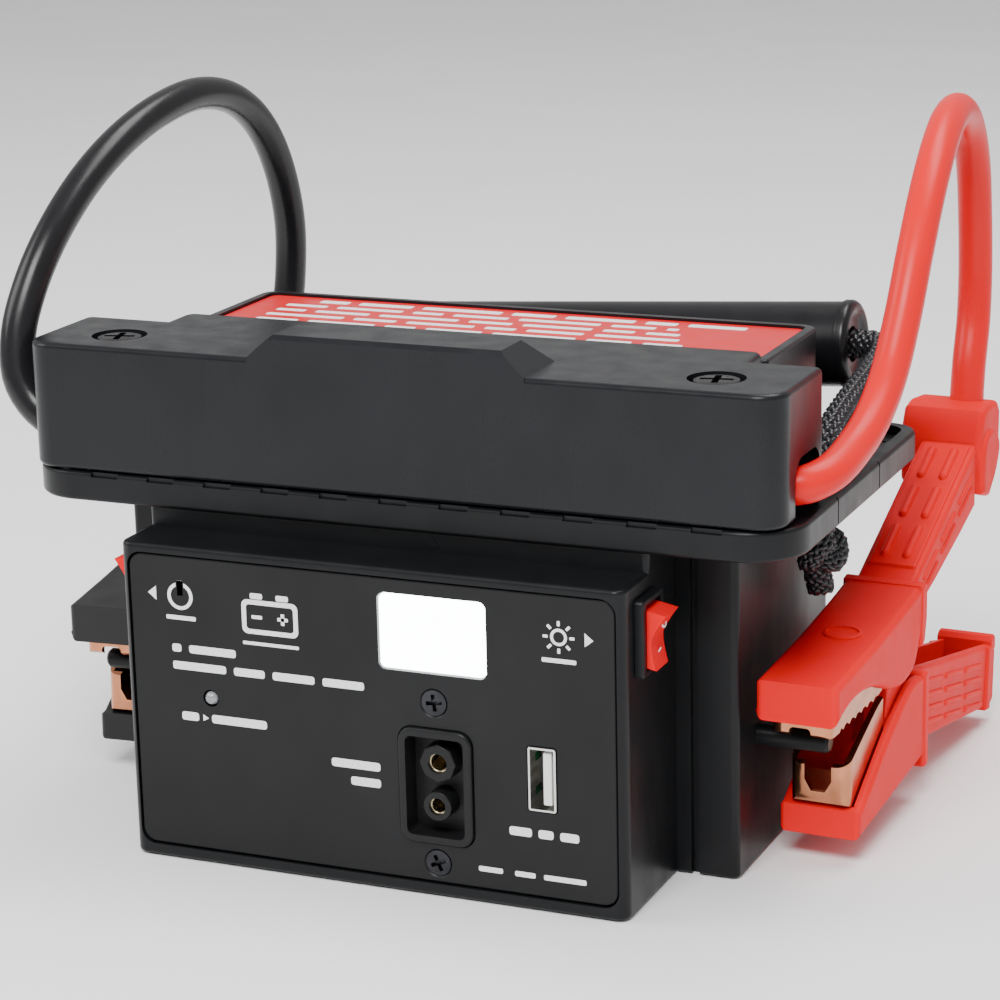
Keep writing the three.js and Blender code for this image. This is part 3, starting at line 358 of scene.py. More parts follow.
def smooth_points(points, spacing):
    """Points every `spacing` along a centripetal Catmull-Rom curve, and the curve's length."""
    pts = [Vector(p) for p in points]
    padded = [pts[0] * 2 - pts[1], *pts, pts[-1] * 2 - pts[-2]]
    dense = []
    for i in range(1, len(padded) - 2):
        p0, p1, p2, p3 = padded[i - 1:i + 3]
        t0 = 0.0
        t1 = t0 + max(1e-9, (p1 - p0).length ** 0.5)
        t2 = t1 + max(1e-9, (p2 - p1).length ** 0.5)
        t3 = t2 + max(1e-9, (p3 - p2).length ** 0.5)
        for k in range(24):
            t = t1 + (t2 - t1) * k / 24
            a1 = p0 * ((t1 - t) / (t1 - t0)) + p1 * ((t - t0) / (t1 - t0))
            a2 = p1 * ((t2 - t) / (t2 - t1)) + p2 * ((t - t1) / (t2 - t1))
            a3 = p2 * ((t3 - t) / (t3 - t2)) + p3 * ((t - t2) / (t3 - t2))
            b1 = a1 * ((t2 - t) / (t2 - t0)) + a2 * ((t - t0) / (t2 - t0))
            b2 = a2 * ((t3 - t) / (t3 - t1)) + a3 * ((t - t1) / (t3 - t1))
            dense.append(b1 * ((t2 - t) / (t2 - t1)) + b2 * ((t - t1) / (t2 - t1)))
    dense.append(pts[-1])
    lengths = [0.0]
    for a, b in zip(dense, dense[1:]):
        lengths.append(lengths[-1] + (b - a).length)
    count = max(2, round(lengths[-1] / spacing))
    result = []
    j = 0
    for i in range(count + 1):
        want = lengths[-1] * i / count
        while j < len(lengths) - 2 and lengths[j + 1] < want:
            j += 1
        share = (want - lengths[j]) / max(1e-12, lengths[j + 1] - lengths[j])
        result.append(dense[j].lerp(dense[j + 1], min(1, max(0, share))))
    return result, lengths[-1]


def frames_along(points):
    """A rotation-minimising pair of side directions at each point."""
    tangents = []
    for i, _ in enumerate(points):
        a = points[max(0, i - 1)]
        b = points[min(len(points) - 1, i + 1)]
        tangents.append((b - a).normalized())
    side = tangents[0].orthogonal().normalized()
    frames = []
    for tangent in tangents:
        side = (side - tangent * side.dot(tangent)).normalized()
        frames.append((tangent, side, tangent.cross(side)))
    return frames


def sweep(bm, points, radius, sides, dome=0.0):
    """Adds a round tube along points. A dome rounds its two ends by that much."""
    frames = frames_along(points)
    rings = [(point, frame_here, radius) for point, frame_here in zip(points, frames)]
    if dome:
        for degrees in (28, 55, 78):
            out = dome * math.sin(math.radians(degrees))
            r = radius * math.cos(math.radians(degrees))
            rings.insert(0, (points[0] - frames[0][0] * out, frames[0], r))
            rings.append((points[-1] + frames[-1][0] * out, frames[-1], r))
    angles = [2 * math.pi * k / sides for k in range(sides)]
    rows = []
    for centre, (_, u, v), r in rings:
        rows.append([bm.verts.new(centre + (u * math.cos(a) + v * math.sin(a)) * r) for a in angles])
    for a, b in zip(rows, rows[1:]):
        for k in range(sides):
            bm.faces.new((a[k], a[(k + 1) % sides], b[(k + 1) % sides], b[k]))
    bm.faces.new(list(reversed(rows[0])))
    bm.faces.new(rows[-1])


# ---- Leads ----


def make_lead(colour, route, inner, boot):
    """A lead along its route, let in a little at both ends: at the cover (inner) and at the boot."""
    points, length = smooth_points([tuple(c * MM for c in p) for p in route], 0.0022)
    tube_points = [Vector(inner) * MM, *points, Vector(boot) * MM]
    mesh = mesh_of(f"{colour}_lead", lambda bm: sweep(bm, tube_points, LEAD_DIAMETER / 2, LEAD_SIDES))
    piece = add_object(f"{colour}_lead", mesh, None, f"{colour}_rubber")
    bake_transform(piece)
    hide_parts(f"{colour}_cable")


MATERIALS = make_materials()
make_camera()
make_lead("red", RED_ROUTE, (77.4, -24.3, 84.35), (85.7, 86.4, 74.8))
make_lead("black", BLACK_ROUTE, (-77.4, -24.3, 84.35), (-86.25, 85.3, 74.8))


# ---- Solid shapes with rounded edges, in millimetres ----


def rounded_rect(u, v, radii, steps=7):
    """Outline of a rectangle with corner radii from the low-u, low-v corner, anticlockwise."""
    if not isinstance(radii, (tuple, list)):
        radii = (radii,) * 4
    corners = ((u[0], v[0], 1, 1), (u[1], v[0], -1, 1), (u[1], v[1], -1, -1), (u[0], v[1], 1, -1))
    points = []
    for quarter, ((cu, cv, du, dv), r) in enumerate(zip(corners, radii)):
        count = steps if r > 0 else 0
        for i in range(count + 1):
            angle = math.pi * (1 + quarter / 2) + (i / steps * math.pi / 2 if count else 0)
            points.append((cu + du * r + r * math.cos(angle), cv + dv * r + r * math.sin(angle)))
    return points


def disc(u, v, r, sides=40):
    """Outline of a circle."""
    return [(u + r * math.cos(2 * math.pi * k / sides), v + r * math.sin(2 * math.pi * k / sides))
            for k in range(sides)]


AXES = {"x": lambda u, v, w: (w, u, v), "y": lambda u, v, w: (u, w, v), "z": lambda u, v, w: (u, v, w)}


def bevelled(bm, edges, width, segments):
    """Rounds edges. The width must not pass the radius of the corners they run round."""
    bmesh.ops.bevel(bm, geom=edges, offset=width, segments=segments, affect="EDGES", profile=0.5,
                    clamp_overlap=False)


def prism(outline, span, axis="z", edge=0.0, ends="both", segments=3):
    """A prism along an axis. Its end rims are rounded by `edge`, at both ends or only at low or high."""
    def build(bm):
        place = AXES[axis]
        low = [bm.verts.new(place(u, v, span[0])) for u, v in outline]
        high = [bm.verts.new(place(u, v, span[1])) for u, v in outline]
        bm.faces.new(list(reversed(low)))
        bm.faces.new(high)
        for k in range(len(outline)):
            n = (k + 1) % len(outline)
            bm.faces.new((low[k], low[n], high[n], high[k]))
        bmesh.ops.recalc_face_normals(bm, faces=bm.faces)
        if edge > 0:
            rims = []
            for ring, wanted in ((low, ("both", "low")), (high, ("both", "high"))):
                if ends in wanted:
                    rims += [e for e in bm.edges if e.verts[0] in ring and e.verts[1] in ring]
            bevelled(bm, rims, edge, segments)

    return mesh_of("shape", build)


def block(u, v, radii, span, axis="z", edge=0.0, ends="both", segments=3, steps=7):
    """A prism over a rectangle with rounded corners."""
    return prism(rounded_rect(u, v, radii, steps), span, axis, edge, ends, segments)


def soft_block(x, y, z, edge, segments=3):
    """A box with all its edges rounded."""
    def build(bm):
        bmesh.ops.create_cube(bm, size=1)
        for vert in bm.verts:
            share = [c + 0.5 for c in vert.co]
            vert.co = [low + t * (high - low) for t, (low, high) in zip(share, (x, y, z))]
        if edge > 0:
            bevelled(bm, bm.edges[:], edge, segments)

    return mesh_of("shape", build)


def capsule(a, b, r):
    """A rounded bar between two points."""
    a, b = Vector(a), Vector(b)
    along = (b - a).normalized() * r
    return mesh_of("shape", lambda bm: sweep(bm, [a + along, b - along], r, 12, r))


def turned_mesh(profile, matrix=None, sides=72):
    """A turned solid: an outline of (radius, height) pairs carried round Z, then placed by a matrix."""
    def build(bm):
        place = matrix or Matrix.Identity(4)
        rows = []
        for radius, height in profile:
            angles = [2 * math.pi * k / sides for k in range(sides if radius > 0 else 1)]
            ring = [Vector((radius * math.cos(a), radius * math.sin(a), height)) for a in angles]
            rows.append([bm.verts.new(place @ point) for point in ring])
        for a, b in zip(rows, rows[1:]):
            for k in range(sides):
                n = (k + 1) % sides
                loop = []
                for vert in (a[k % len(a)], a[n % len(a)], b[n % len(b)], b[k % len(b)]):
                    if vert not in loop:
                        loop.append(vert)
                if len(loop) > 2:
                    bm.faces.new(loop)
        bmesh.ops.recalc_face_normals(bm, faces=bm.faces)
        bmesh.ops.remove_doubles(bm, verts=bm.verts, dist=0.001)

    return mesh_of("shape", build)


def placed(at, *turns):
    """A shift after turns, each in degrees about a named axis. The last turn is made first."""
    matrix = Matrix.Translation(at)
    for degrees, axis in turns:
        matrix = matrix @ Matrix.Rotation(math.radians(degrees), 4, axis)
    return matrix


def carve(base, add=(), cut=(), keep=()):
    """Joins, cuts and intersects solids, in that order: base + add - cut, within keep."""
    body = bpy.data.objects.new("body", base.copy())
    scene.collection.objects.link(body)
    tools = []
    for meshes, operation in ((add, "UNION"), (cut, "DIFFERENCE"), (keep, "INTERSECT")):
        for mesh in meshes:
            tool = bpy.data.objects.new("tool", mesh)
            scene.collection.objects.link(tool)
            tools.append(tool)
            modifier = body.modifiers.new("carve", "BOOLEAN")
            modifier.operation = operation
            modifier.solver = "EXACT"
            modifier.object = tool
    bpy.context.view_layer.update()
    depsgraph = bpy.context.evaluated_depsgraph_get()
    mesh = bpy.data.meshes.new_from_object(body.evaluated_get(depsgraph))
    for temporary in [body, *tools]:
        bpy.data.objects.remove(temporary)
    return mesh


def heap(meshes):
    """Several separate solids as one mesh."""
    bm = bmesh.new()
    for mesh in meshes:
        bm.from_mesh(mesh)
    result = bpy.data.meshes.new("heap")
    bm.to_mesh(result)
    bm.free()
    return result


TO_METRES = Matrix.Scale(MM, 4)


def finish_piece(name, mesh, body, material, slot=None, matrix=None, smooth_deg=32, weighted=True):
    """Turns a shape in millimetres into a finished piece in metres."""
    mesh = mesh.copy()
    mesh.transform(TO_METRES @ (matrix or Matrix.Identity(4)))
    piece = add_object(name, mesh, body, material, smooth_deg)
    if weighted:
        modifier = piece.modifiers.new("shading", "WEIGHTED_NORMAL")
        modifier.keep_sharp = True
        bpy.context.view_layer.update()
        apply_modifiers(piece)
    return piece


def look(node, mesh, matrix=None, name=None, **shading):
    """A finished piece that stands in for a CAD node, with its body and material."""
    piece = finish_piece(name or f"{node}_look", mesh, BODY_OF[node], SLOT_OF[node], None, matrix, **shading)
    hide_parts(node)


# ---- Case ----

WALL = 2.2
TUB_X, TUB_FRONT, TUB_BACK = 68.2, -21.6, 38.5
FLANGE_X, FLANGE_Y, FLANGE_Z = 84.5, (-38.4, 55), (71.8, 78.1)
BOX_X, BOX_Y, BOX_TOP, NECK_FRONT = 55, (-50, -21.9), 67.7, -36.8
PANEL_FRONT, PANEL_BACK = -49.65, -47.65
PANEL_THROUGH = (-60, -40)
PANEL_SCREW_X = 14.5
PANEL_SCREWS = (("upper", 40.7, 8), ("lower", 6.9, 24))
WARNING_LED_X, WARNING_LED_Z = -35.4, 36
COVER_X, COVER_TOP, COVER_BOTTOM = 82.4, 105, 78.4
LID_X, LID_Y, LID_TOP = (-62.5, 67.5), (-1.2, 34.5), 102
HOLE_X, HOLE_Y, HOLE_R = 76, 7, 4.3
SCREW_X, SCREW_Y = 65.7, -26.7
FAR = 110


def mirrored(side, low, high):
    """A range on the right, or its mirror image on the left."""
    return sorted((side * low, side * high))


def make_case():
    flange = block((-FLANGE_X, FLANGE_X), FLANGE_Y, (12, 12, 8, 8), FLANGE_Z, "z", 0.9, steps=12)
    tub = block((-TUB_X, TUB_X), (TUB_FRONT, TUB_BACK), 1.6, (0, 73), "z", 0.7, "low")
    tray = carve(block((-81.5, 81.5), (-10.7, 52), (1, 1, 5, 5), (76.1, 84)),
                 cut=[block(LID_X, (-20, LID_Y[1]), 0, (70, 90))])
    cuts = [
        block((-TUB_X + WALL, TUB_X - WALL), (TUB_FRONT + WALL, TUB_BACK - WALL), 0, (3, 70.8)),
        block((-47, 47), (-34.4, 33), 0, (3, 85)),
        tray,
    ]
    adds = [tub]
    peg = [(0, 67), (2.2, 67), (2.2, 82.8), (1.7, 83.4), (0, 83.4)]
    for side in (-1, 1):
        cuts.append(prism(disc(side * HOLE_X, HOLE_Y, HOLE_R), (60, 90)))
        # The upright groove in the tub's front corner.
        groove = side * (TUB_X - 9.2)
        cuts.append(block((groove - 0.85, groove + 0.85), (TUB_FRONT - 2, TUB_FRONT + 1.6), 0, (-1, 71)))
        # Two fine moulding lines down the flange's edge.
        for y in (-8, 21):
            cuts.append(block(mirrored(side, 83.9, 90), (y - 0.28, y + 0.28), 0, (71, 79)))
        # A drain slot in the tray behind the lid.
        cuts.append(block(mirrored(side, 70, 79), (44, 45.6), 0.7, (70, 80)))
        # The parking peg.
        adds.append(turned_mesh(peg, placed((0, -8.6, 26.8), (90 * side, "Y")), 40))
    # Shallow notches along the front of the seam under the cover.
    for k in range(-5, 6):
        middle = k * 13.2 + 1.5
        cuts.append(block((middle - 3.1, middle + 3.1), (-39, -37.7), 0, (77.1, 79)))
    look("main_case", carve(flange, add=adds, cut=cuts))


def make_control_box():
    low = block((-BOX_X, BOX_X), BOX_Y, (2.6, 2.6, 0, 0), (0, BOX_TOP), "z", 0.9)
    neck = block((-BOX_X, BOX_X), (NECK_FRONT, BOX_Y[1]), (1.4, 1.4, 0, 0), (BOX_TOP - 3, 71.5))
    arrow = prism([(8, 68.6), (11, 68.6), (9.5, 70.9)], (NECK_FRONT - 0.12, NECK_FRONT + 1), "y")
    inside = BOX_X - WALL
    cuts = [
        block((-inside, inside), (-46.8, -15), 0, (WALL, BOX_TOP - WALL)),
        block((-inside, inside), (NECK_FRONT + WALL, -15), 0, (WALL, 80)),
        block((-53.3, 53.3), (2.5, 65.9), 3.3, (-56, -47.35), "y"),
        block((-51, 51), (4.8, 63.6), 1, (-56, -40), "y"),
    ]
    for side in (-1, 1):
        cuts.append(block((-43.8, -33.8), (49.3, 63.5), 0, mirrored(side, 50, 60), "x"))
    look("control_box", carve(low, add=[neck, arrow], cut=cuts))


def charger_outline(grow):
    return rounded_rect((6.6 - grow, 22.6 + grow), (11.1 - grow, 35.3 + grow), 3 + grow)


def usb_outline(grow):
    return rounded_rect((34.45 - grow, 40.35 + grow), (20.85 - grow, 34.15 + grow), 0.5 + grow, 4)


def make_panel():
    plate = block((-53, 53), (2.8, 65.6), 3, (PANEL_FRONT, PANEL_BACK), "y", 0.45)
    cuts = [
        block((2.8, 26.1), (46.7, 62.6), 1.5, PANEL_THROUGH, "y"),
        prism(charger_outline(0.25), PANEL_THROUGH, "y"),
        prism(usb_outline(0.25), PANEL_THROUGH, "y"),
        prism(disc(WARNING_LED_X, WARNING_LED_Z, 1.8), PANEL_THROUGH, "y"),
    ]
    countersink = [(0, -6), (1.7, -6), (1.7, -1.4), (3.1, 0.02), (3.1, 3), (0, 3)]
    for _, z, _ in PANEL_SCREWS:
        cuts.append(turned_mesh(countersink, placed((PANEL_SCREW_X, PANEL_FRONT, z), (90, "X")), 48))
    look("front_panel", carve(plate, cut=cuts))


def make_charger():
    front = PANEL_FRONT - 0.9
    body = prism(charger_outline(0), (front, front + 12), "y", 0.6, "low")
    cavity = prism(charger_outline(-1.7), (front - 2, front + 5), "y")
    seats = []
    holes = []
    # Each contact: its place, the seat's radius and sides, and the sleeve's radius and bore radius.
    for name, x, z, seat_r, sides, r, bore in (
        ("upper", 15, 28.1, 4.0, 8, 2.55, 1.75),
        ("lower", 14.7, 19, 3.1, 36, 2.2, 1.5),
    ):
        seats.append(prism(disc(x, z, seat_r, sides), (front + 0.7, front + 6), "y", 0.35, "low"))
        holes.append(prism(disc(x, z, bore + 0.3), (front - 2, front + 1.6), "y"))
        holes.append(prism(disc(x, z, r + 0.05), (front + 1.5, front + 20), "y"))
        tube = [
            (bore, 11), (bore, 1.25), (bore + 0.15, 1.15), (r - 0.15, 1.15), (r, 1.3), (r, 12.4), (0, 12.4),
            (0, 11), (bore, 11),
        ]
        look(f"charger_sleeve_{name}", turned_mesh(tube, placed((x, front + 0.4, z), (-90, "X")), 48))
    look("charger_socket", carve(carve(body, cut=[cavity]), add=seats, cut=holes))


def make_usb():
    back = PANEL_FRONT + 13
    cuts = [prism(usb_outline(-0.45), (PANEL_FRONT - 3, back - 1), "y")]
    for z in (24, 31):
        cuts.append(block((33, 36), (z - 0.9, z + 0.9), 0.3, (-47, -43.6), "y"))
    look("usb_shell", carve(prism(usb_outline(0), (PANEL_FRONT - 0.2, back), "y", 0.12, "low"), cut=cuts))
    look("usb_tongue", soft_block((37.4, 39.2), (PANEL_FRONT + 0.5, back - 1.3), (22.05, 32.95), 0.2))
    for k in range(4):
        z = 23.6 + k * 2.6
        contact = soft_block((37.22, 37.5), (-48.6, -40), (z - 0.5, z + 0.5), 0.08, 1)
        finish_piece(f"usb_contact_{k + 1}", contact, "case", "plated_brass")


def make_lights():
    lens_y = (PANEL_FRONT + 0.1, PANEL_FRONT + 3)
    look("light_lens", block((3.1, 25.8), (47, 62.3), 1.2, lens_y, "y", 0.3, "low"))
    r, height = 1.5, 2.1
    rising = [math.radians(degrees) for degrees in range(0, 90, 18)]
    dome = [(r * math.cos(a), height + r * math.sin(a)) for a in rising]
    place = placed((WARNING_LED_X, PANEL_FRONT + 2.8, WARNING_LED_Z), (90, "X"))
    look("warning_led", turned_mesh([(0, 0), (r, 0), *dome, (0, height + r)], place, 36))


def cross_slots(reach, width, depth):
    z = (-depth, 3)
    along = (-reach, reach)
    across = (-width / 2, width / 2)
    return [soft_block(along, across, z, 0), soft_block(across, along, z, 0)]


def make_screws():
    countersunk = [
        (0, -9), (1.2, -9), (1.4, -8.6), (1.4, -1.5), (2.6, -0.22), (2.7, -0.12), (2.66, -0.02), (0, 0.05),
    ]
    panel_screw = carve(turned_mesh(countersunk, None, 56), cut=cross_slots(1.75, 0.85, 1.1))
    for name, z, turn in PANEL_SCREWS:
        place = placed((PANEL_SCREW_X, PANEL_FRONT + 0.1, z), (90, "X"), (turn, "Z"))
        look(f"panel_screw_{name}", panel_screw, place)
    pan = [
        (0, -32), (1.9, -32), (2, -31), (2, -1.9), (4.9, -1.9), (4.9, -0.7), (4.5, -0.15), (3.6, 0),
        (0, 0.05),
    ]
    cover_screw = carve(turned_mesh(pan, None, 64), cut=cross_slots(3.3, 1.35, 1.3))
    for name, side, turn in (("left", -1, 14), ("right", 1, 10)):
        place = placed((side * SCREW_X, SCREW_Y, COVER_TOP - 0.2), (turn, "Z"))
        look(f"cover_screw_{name}", cover_screw, place)


def rocker_mesh():
    """The rocker's dished key. Its outline is drawn from the side, then swapped to face +X."""
    half, steps = 5.8, 12
    key = [(-half, -2.2), (half, -2.2), (half, 4.8)]
    for i in range(1, steps):
        t = 1 - 2 * i / steps
        key.append((half * t, 2.7 + 2.1 * abs(t) ** 1.35))
    key.append((-half, 4.8))
    mesh = prism(key, (-3.7, 3.7), "y", 0.45, "both", 2)
    mesh.transform(Matrix(((0, 0, 1, 0), (0, 1, 0, 0), (1, 0, 0, 0), (0, 0, 0, 1))))
    mesh.flip_normals()
    return mesh


def rocker_marks():
    """The ring and the stroke on a rocker's two ends."""
    height = (0, 0.22)
    ring = carve(prism(disc(0, 0, 1.25, 28), height), cut=[prism(disc(0, 0, 0.85, 28), (-1, 1))])
    ring.transform(placed((3.3, 0, 3.3), (73, "Y")))
    stroke = block((-1.3, 1.3), (-0.2, 0.2), 0.1, height, steps=3)
    stroke.transform(placed((3.3, 0, -3.3), (107, "Y")))
    return heap([ring, stroke])


def make_switch(name, side):
    place = placed((side * BOX_X, -38.8, 56.4), (0 if side > 0 else 180, "Z"))
    bezel = block((-5.8, 5.8), (-7.9, 7.9), 1.1, (0.1, 1.9), "x", 0.5, "high")
    body = block((-4.7, 4.7), (-6.8, 6.8), 0, (-11, 1), "x")
    well = block((-4, 4), (-6.7, 6.7), 0.4, (-6.5, 5), "x")
    look(f"{name}_body", carve(bezel, add=[body], cut=[well]), place)
    rocker = f"{name}_rocker"
    tip = place @ Matrix.Rotation(math.radians(11), 4, "Y")
    look(rocker, rocker_mesh(), tip)
    finish_piece(f"{rocker}_marks", rocker_marks(), BODY_OF[rocker], "print_white", "red_plastic", tip)


# ---- Cover, lid and printing ----


def make_cover():
    z = (COVER_BOTTOM, COVER_TOP)
    ends = block((-COVER_X, COVER_X), (-38.4, -11), (6, 6, 2, 2), z, "z", 1.1, steps=12)
    middle = block((-63, 67), (-30, -1.6), (0, 0, 2.4, 2.4), z, "z", 1.1)
    across = prism([(-30, 101), (30.5, 101), (30.5, 105), (25.5, 110), (-24, 110), (-30, 105)],
                   (-38.4, -22.5), "y")
    along = prism([(-38.4, 100), (-22.5, 100), (-22.5, 105), (-27.5, 110), (-37.5, 110), (-38.4, 109.1)],
                  (-31, 31.5), "x")
    rooms = [
        block((-COVER_X + WALL, COVER_X - WALL), (-36.2, -13.2), 2, (70, COVER_TOP - WALL)),
        block((-60.8, 64.8), (-36.2, 3), 0, (70, COVER_TOP - WALL)),
    ]
    shell = carve(carve(ends, add=[middle, carve(across, keep=[along])]), cut=rooms)
    posts = []
    cuts = []
    for side in (-1, 1):
        x = side * SCREW_X
        posts.append(prism(disc(x, SCREW_Y, 4.6), (COVER_BOTTOM, 103.5)))
        posts.append(prism(disc(x, SCREW_Y, 7.4), (100.4, 103.5)))
        cuts.append(prism(disc(x, SCREW_Y, 5.8, 64), (102.6, FAR)))
        cuts.append(prism(disc(x, SCREW_Y, 2.3), (70, FAR)))
        # The notch where the lead leaves the end wall.
        cuts.append(block((-29.4, -13.6), (70, 90.4), (0, 0, 4.5, 4.5), mirrored(side, 79, 90), "x"))
    look("front_cover", carve(shell, add=posts, cut=cuts))


def make_lid():
    outer = block(LID_X, LID_Y, (1.5, 1.5, 4, 4), (COVER_BOTTOM, LID_TOP + 1), "z", 0.6, "high")
    inside = (LID_X[0] + WALL, LID_X[1] - WALL)
    room = block(inside, (-6, LID_Y[1] - WALL), 0, (70, LID_TOP - WALL))
    field = block(inside, (1, LID_Y[1] - WALL), 2, (LID_TOP, FAR))
    look("battery_lid", carve(outer, cut=[room, field]))
    label_z = (LID_TOP + 0.05, LID_TOP + 0.45)
    look("warning_label", block((-60, 65), (1.3, 32), 1.8, label_z, "z", 0.12, "high", 2))


def label_rows():
    """Plain white strokes in rows on the lid's label, in place of writing. The first row is a heading."""
    rows, pitch, gap = 6, 4.9, 2.6
    ink = (LID_TOP + 0.43, LID_TOP + 0.5)
    strokes = []
    step = 0
    for row in range(rows):
        y = 28 - row * pitch
        half = 1.25 if row == 0 else 1.0
        x = -46 if row == 0 else -52
        end = 57 - (row * 17 % 19)
        while x < end:
            stop = min(x + 7 + (step * 7 % 5) * 2.9, end)
            if stop - x > 2:
                strokes.append(block((x, stop), (y - half, y + half), 0.5, ink, steps=3))
            x = stop + gap
            step += 1
    return strokes


def panel_marks():
    """Plain pictograms, arrows and strokes on the front panel, in place of writing."""
    face = (PANEL_FRONT - 0.06, PANEL_FRONT + 0.05)
    marks = []

    def bar(x0, x1, z, height):
        marks.append(block((x0, x1), (z - height / 2, z + height / 2), height * 0.3, face, "y", steps=3))

    def shape(points):
        marks.append(prism(points, face, "y"))

    def ring(x, z, outer, inner, gaps=()):
        cuts = [prism(outline, PANEL_THROUGH, "y") for outline in (disc(x, z, inner), *gaps)]
        marks.append(carve(prism(disc(x, z, outer), face, "y"), cut=cuts))

    # The main switch's arrow and a power ring.
    shape([(-48.8, 57.4), (-46.9, 55.9), (-46.9, 58.9)])
    ring(-41.4, 57.2, 2.9, 2.15, [rounded_rect((-42.3, -40.5), (57.4, 61), 0)])
    bar(-41.75, -41.05, 58.9, 3.2)
    bar(-44.8, -38, 52.6, 0.9)

    # A battery with its two poles.
    inside = block((-26.4, -15.8), (51.9, 57.1), 0.7, PANEL_THROUGH, "y")
    marks.append(carve(block((-27.4, -14.8), (50.9, 58.1), 1.3, face, "y"), cut=[inside]))
    bar(-25.4, -22.6, 58.9, 1.2)
    bar(-19.6, -16.8, 58.9, 1.2)
    bar(-25.2, -22.8, 54.5, 0.75)
    bar(-19.4, -17.0, 54.5, 0.75)
    shape(rounded_rect((-18.58, -17.83), (53.3, 55.7), 0))
    bar(-27.4, -14.8, 48.9, 0.7)

    # Rows of strokes: height on the panel, thickness, and where each stroke starts and stops.
    for z, height, stretches in (
        (46.1, 1.7, ((-43.8, -41.7), (-39.9, -29.2))),
        (42.4, 1.7, ((-43.8, -31.6), (-29.8, -22.8), (-21, -11.6), (-9.8, -0.6))),
        (31.6, 1.8, ((-42.3, -38.4), (-35.4, -22.8))),
        (25.7, 1.8, ((-8.4, 2.4),)),
        (22.2, 1.8, ((-4.2, 2.4),)),
        (16.1, 1.8, ((30.2, 35), (36.4, 39.6), (41, 45))),
        (7.1, 1.1, ((31.2, 35.6), (37.4, 46.4))),
    ):
        for x0, x1 in stretches:
            bar(x0, x1, z, height)
    shape([(-37.4, 30.9), (-36.1, 31.6), (-37.4, 32.3)])

    # A shining lamp and the light switch's arrow.
    ring(41.4, 57.2, 1.75, 1.15)
    for k in range(8):
        ray = block((2.25, 3.3), (-0.3, 0.3), 0.15, face, "y", steps=3)
        ray.transform(placed((41.4, 0, 57.2), (45 * k, "Y")))
        marks.append(ray)
    bar(37.8, 45, 52.4, 0.9)
    shape([(48.6, 57.2), (46.8, 55.8), (46.8, 58.6)])
    bar(23.4, 28.6, 7.1, 1.1)
    return marks


def make_printing():
    finish_piece("panel_print", heap(panel_marks()), "case", "print_white", "panel_plastic")
    finish_piece("label_print", heap(label_rows()), "case", "print_white", "label_film")


# ---- Rope handle ----

GRIP_LEFT, GRIP_RIGHT = Vector((-49.5, 52, 88.3)), Vector((70.5, 52, 95.4))
ROPE_R = 3.0
STRANDS = 8


def braided(points, radius, pitch=16.0, strand=0.74):
    """A round braid: strands wound both ways, weaving over and under one another."""
    path, length = smooth_points(points, 0.34)
    frames = frames_along(path)
    pieces = []
    for hand in (-1, 1):
        for k in range(STRANDS):
            line = []
            for i, centre in enumerate(path):
                s = length * i / (len(path) - 1)
                angle = hand * 2 * math.pi * s / pitch + 2 * math.pi * k / STRANDS
                weave = 0.36 * hand * math.cos(STRANDS * 2 * math.pi * s / pitch)
                _, u, v = frames[i]
                line.append(centre + (u * math.cos(angle) + v * math.sin(angle)) * (radius - strand + weave))
            pieces.append(mesh_of("strand", lambda bm, line=line: sweep(bm, line, strand, 5)))
    pieces.append(mesh_of("core", lambda bm: sweep(bm, path[::6] + [path[-1]], radius - strand, 10)))
    return heap(pieces)


def grip_profile(half):
    """The tube's half section: a rounded rim and a bead at both ends, and a bevelled bore on the right."""
    bore, rim, tube, bead = 3.9, 8.1, 9.2, 9.62
    left = [(bore, -half), (7.6, -half)]
    right = [(7.6, half)]
    for i in range(1, 6):
        a = math.radians(-90 + i * 22)
        r = rim + 1.5 * math.cos(a)
        inward = 1.5 + 1.5 * math.sin(a)
        left.append((r, inward - half))
        right.append((r, half - inward))
    left += [(bead, 2.4 - half), (tube, 3.3 - half)]
    right += [(bead, half - 2.4), (tube, half - 3.3)]
    return left + right[::-1] + [(6.6, half - 0.5), (5.8, half - 1.2), (bore, half - 1.2), (bore, -half)]


def make_handle():
    along = (GRIP_RIGHT - GRIP_LEFT).normalized()
    turn = Vector((0, 0, 1)).rotation_difference(along).to_matrix().to_4x4()
    place = Matrix.Translation((GRIP_LEFT + GRIP_RIGHT) / 2) @ turn
    profile = grip_profile((GRIP_RIGHT - GRIP_LEFT).length / 2)
    look("handle_grip", turned_mesh(profile, place, 96), smooth_deg=50)

    # The rope: a braided leg on each side, and a plain core through the grip.
    core_left = GRIP_LEFT + along * 6
    core_right = GRIP_RIGHT - along * 6
    right_leg = [core_right, GRIP_RIGHT + along * 1.5, (76.3, 50.4, 95.3), (77.6, 45, 94.2), (77.4, 36, 91.8),
                 (76.8, 24, 89), (76.3, 13, 85.4), (76, 7, 80.5)]
    left_leg = [(-76, 7, 80.5), (-76.4, 12, 84.6), (-76, 22, 86.6), (-73.4, 33, 87), (-68, 43, 87),
                (-61, 49.6, 87.1), GRIP_LEFT - along * 4, core_left]
    core = mesh_of("rope", lambda bm: sweep(bm, [core_left, core_right], ROPE_R, 16))
    rope = heap([braided(left_leg, ROPE_R), core, braided(right_leg, ROPE_R)])
    look("handle_rope", rope, smooth_deg=80, weighted=False)


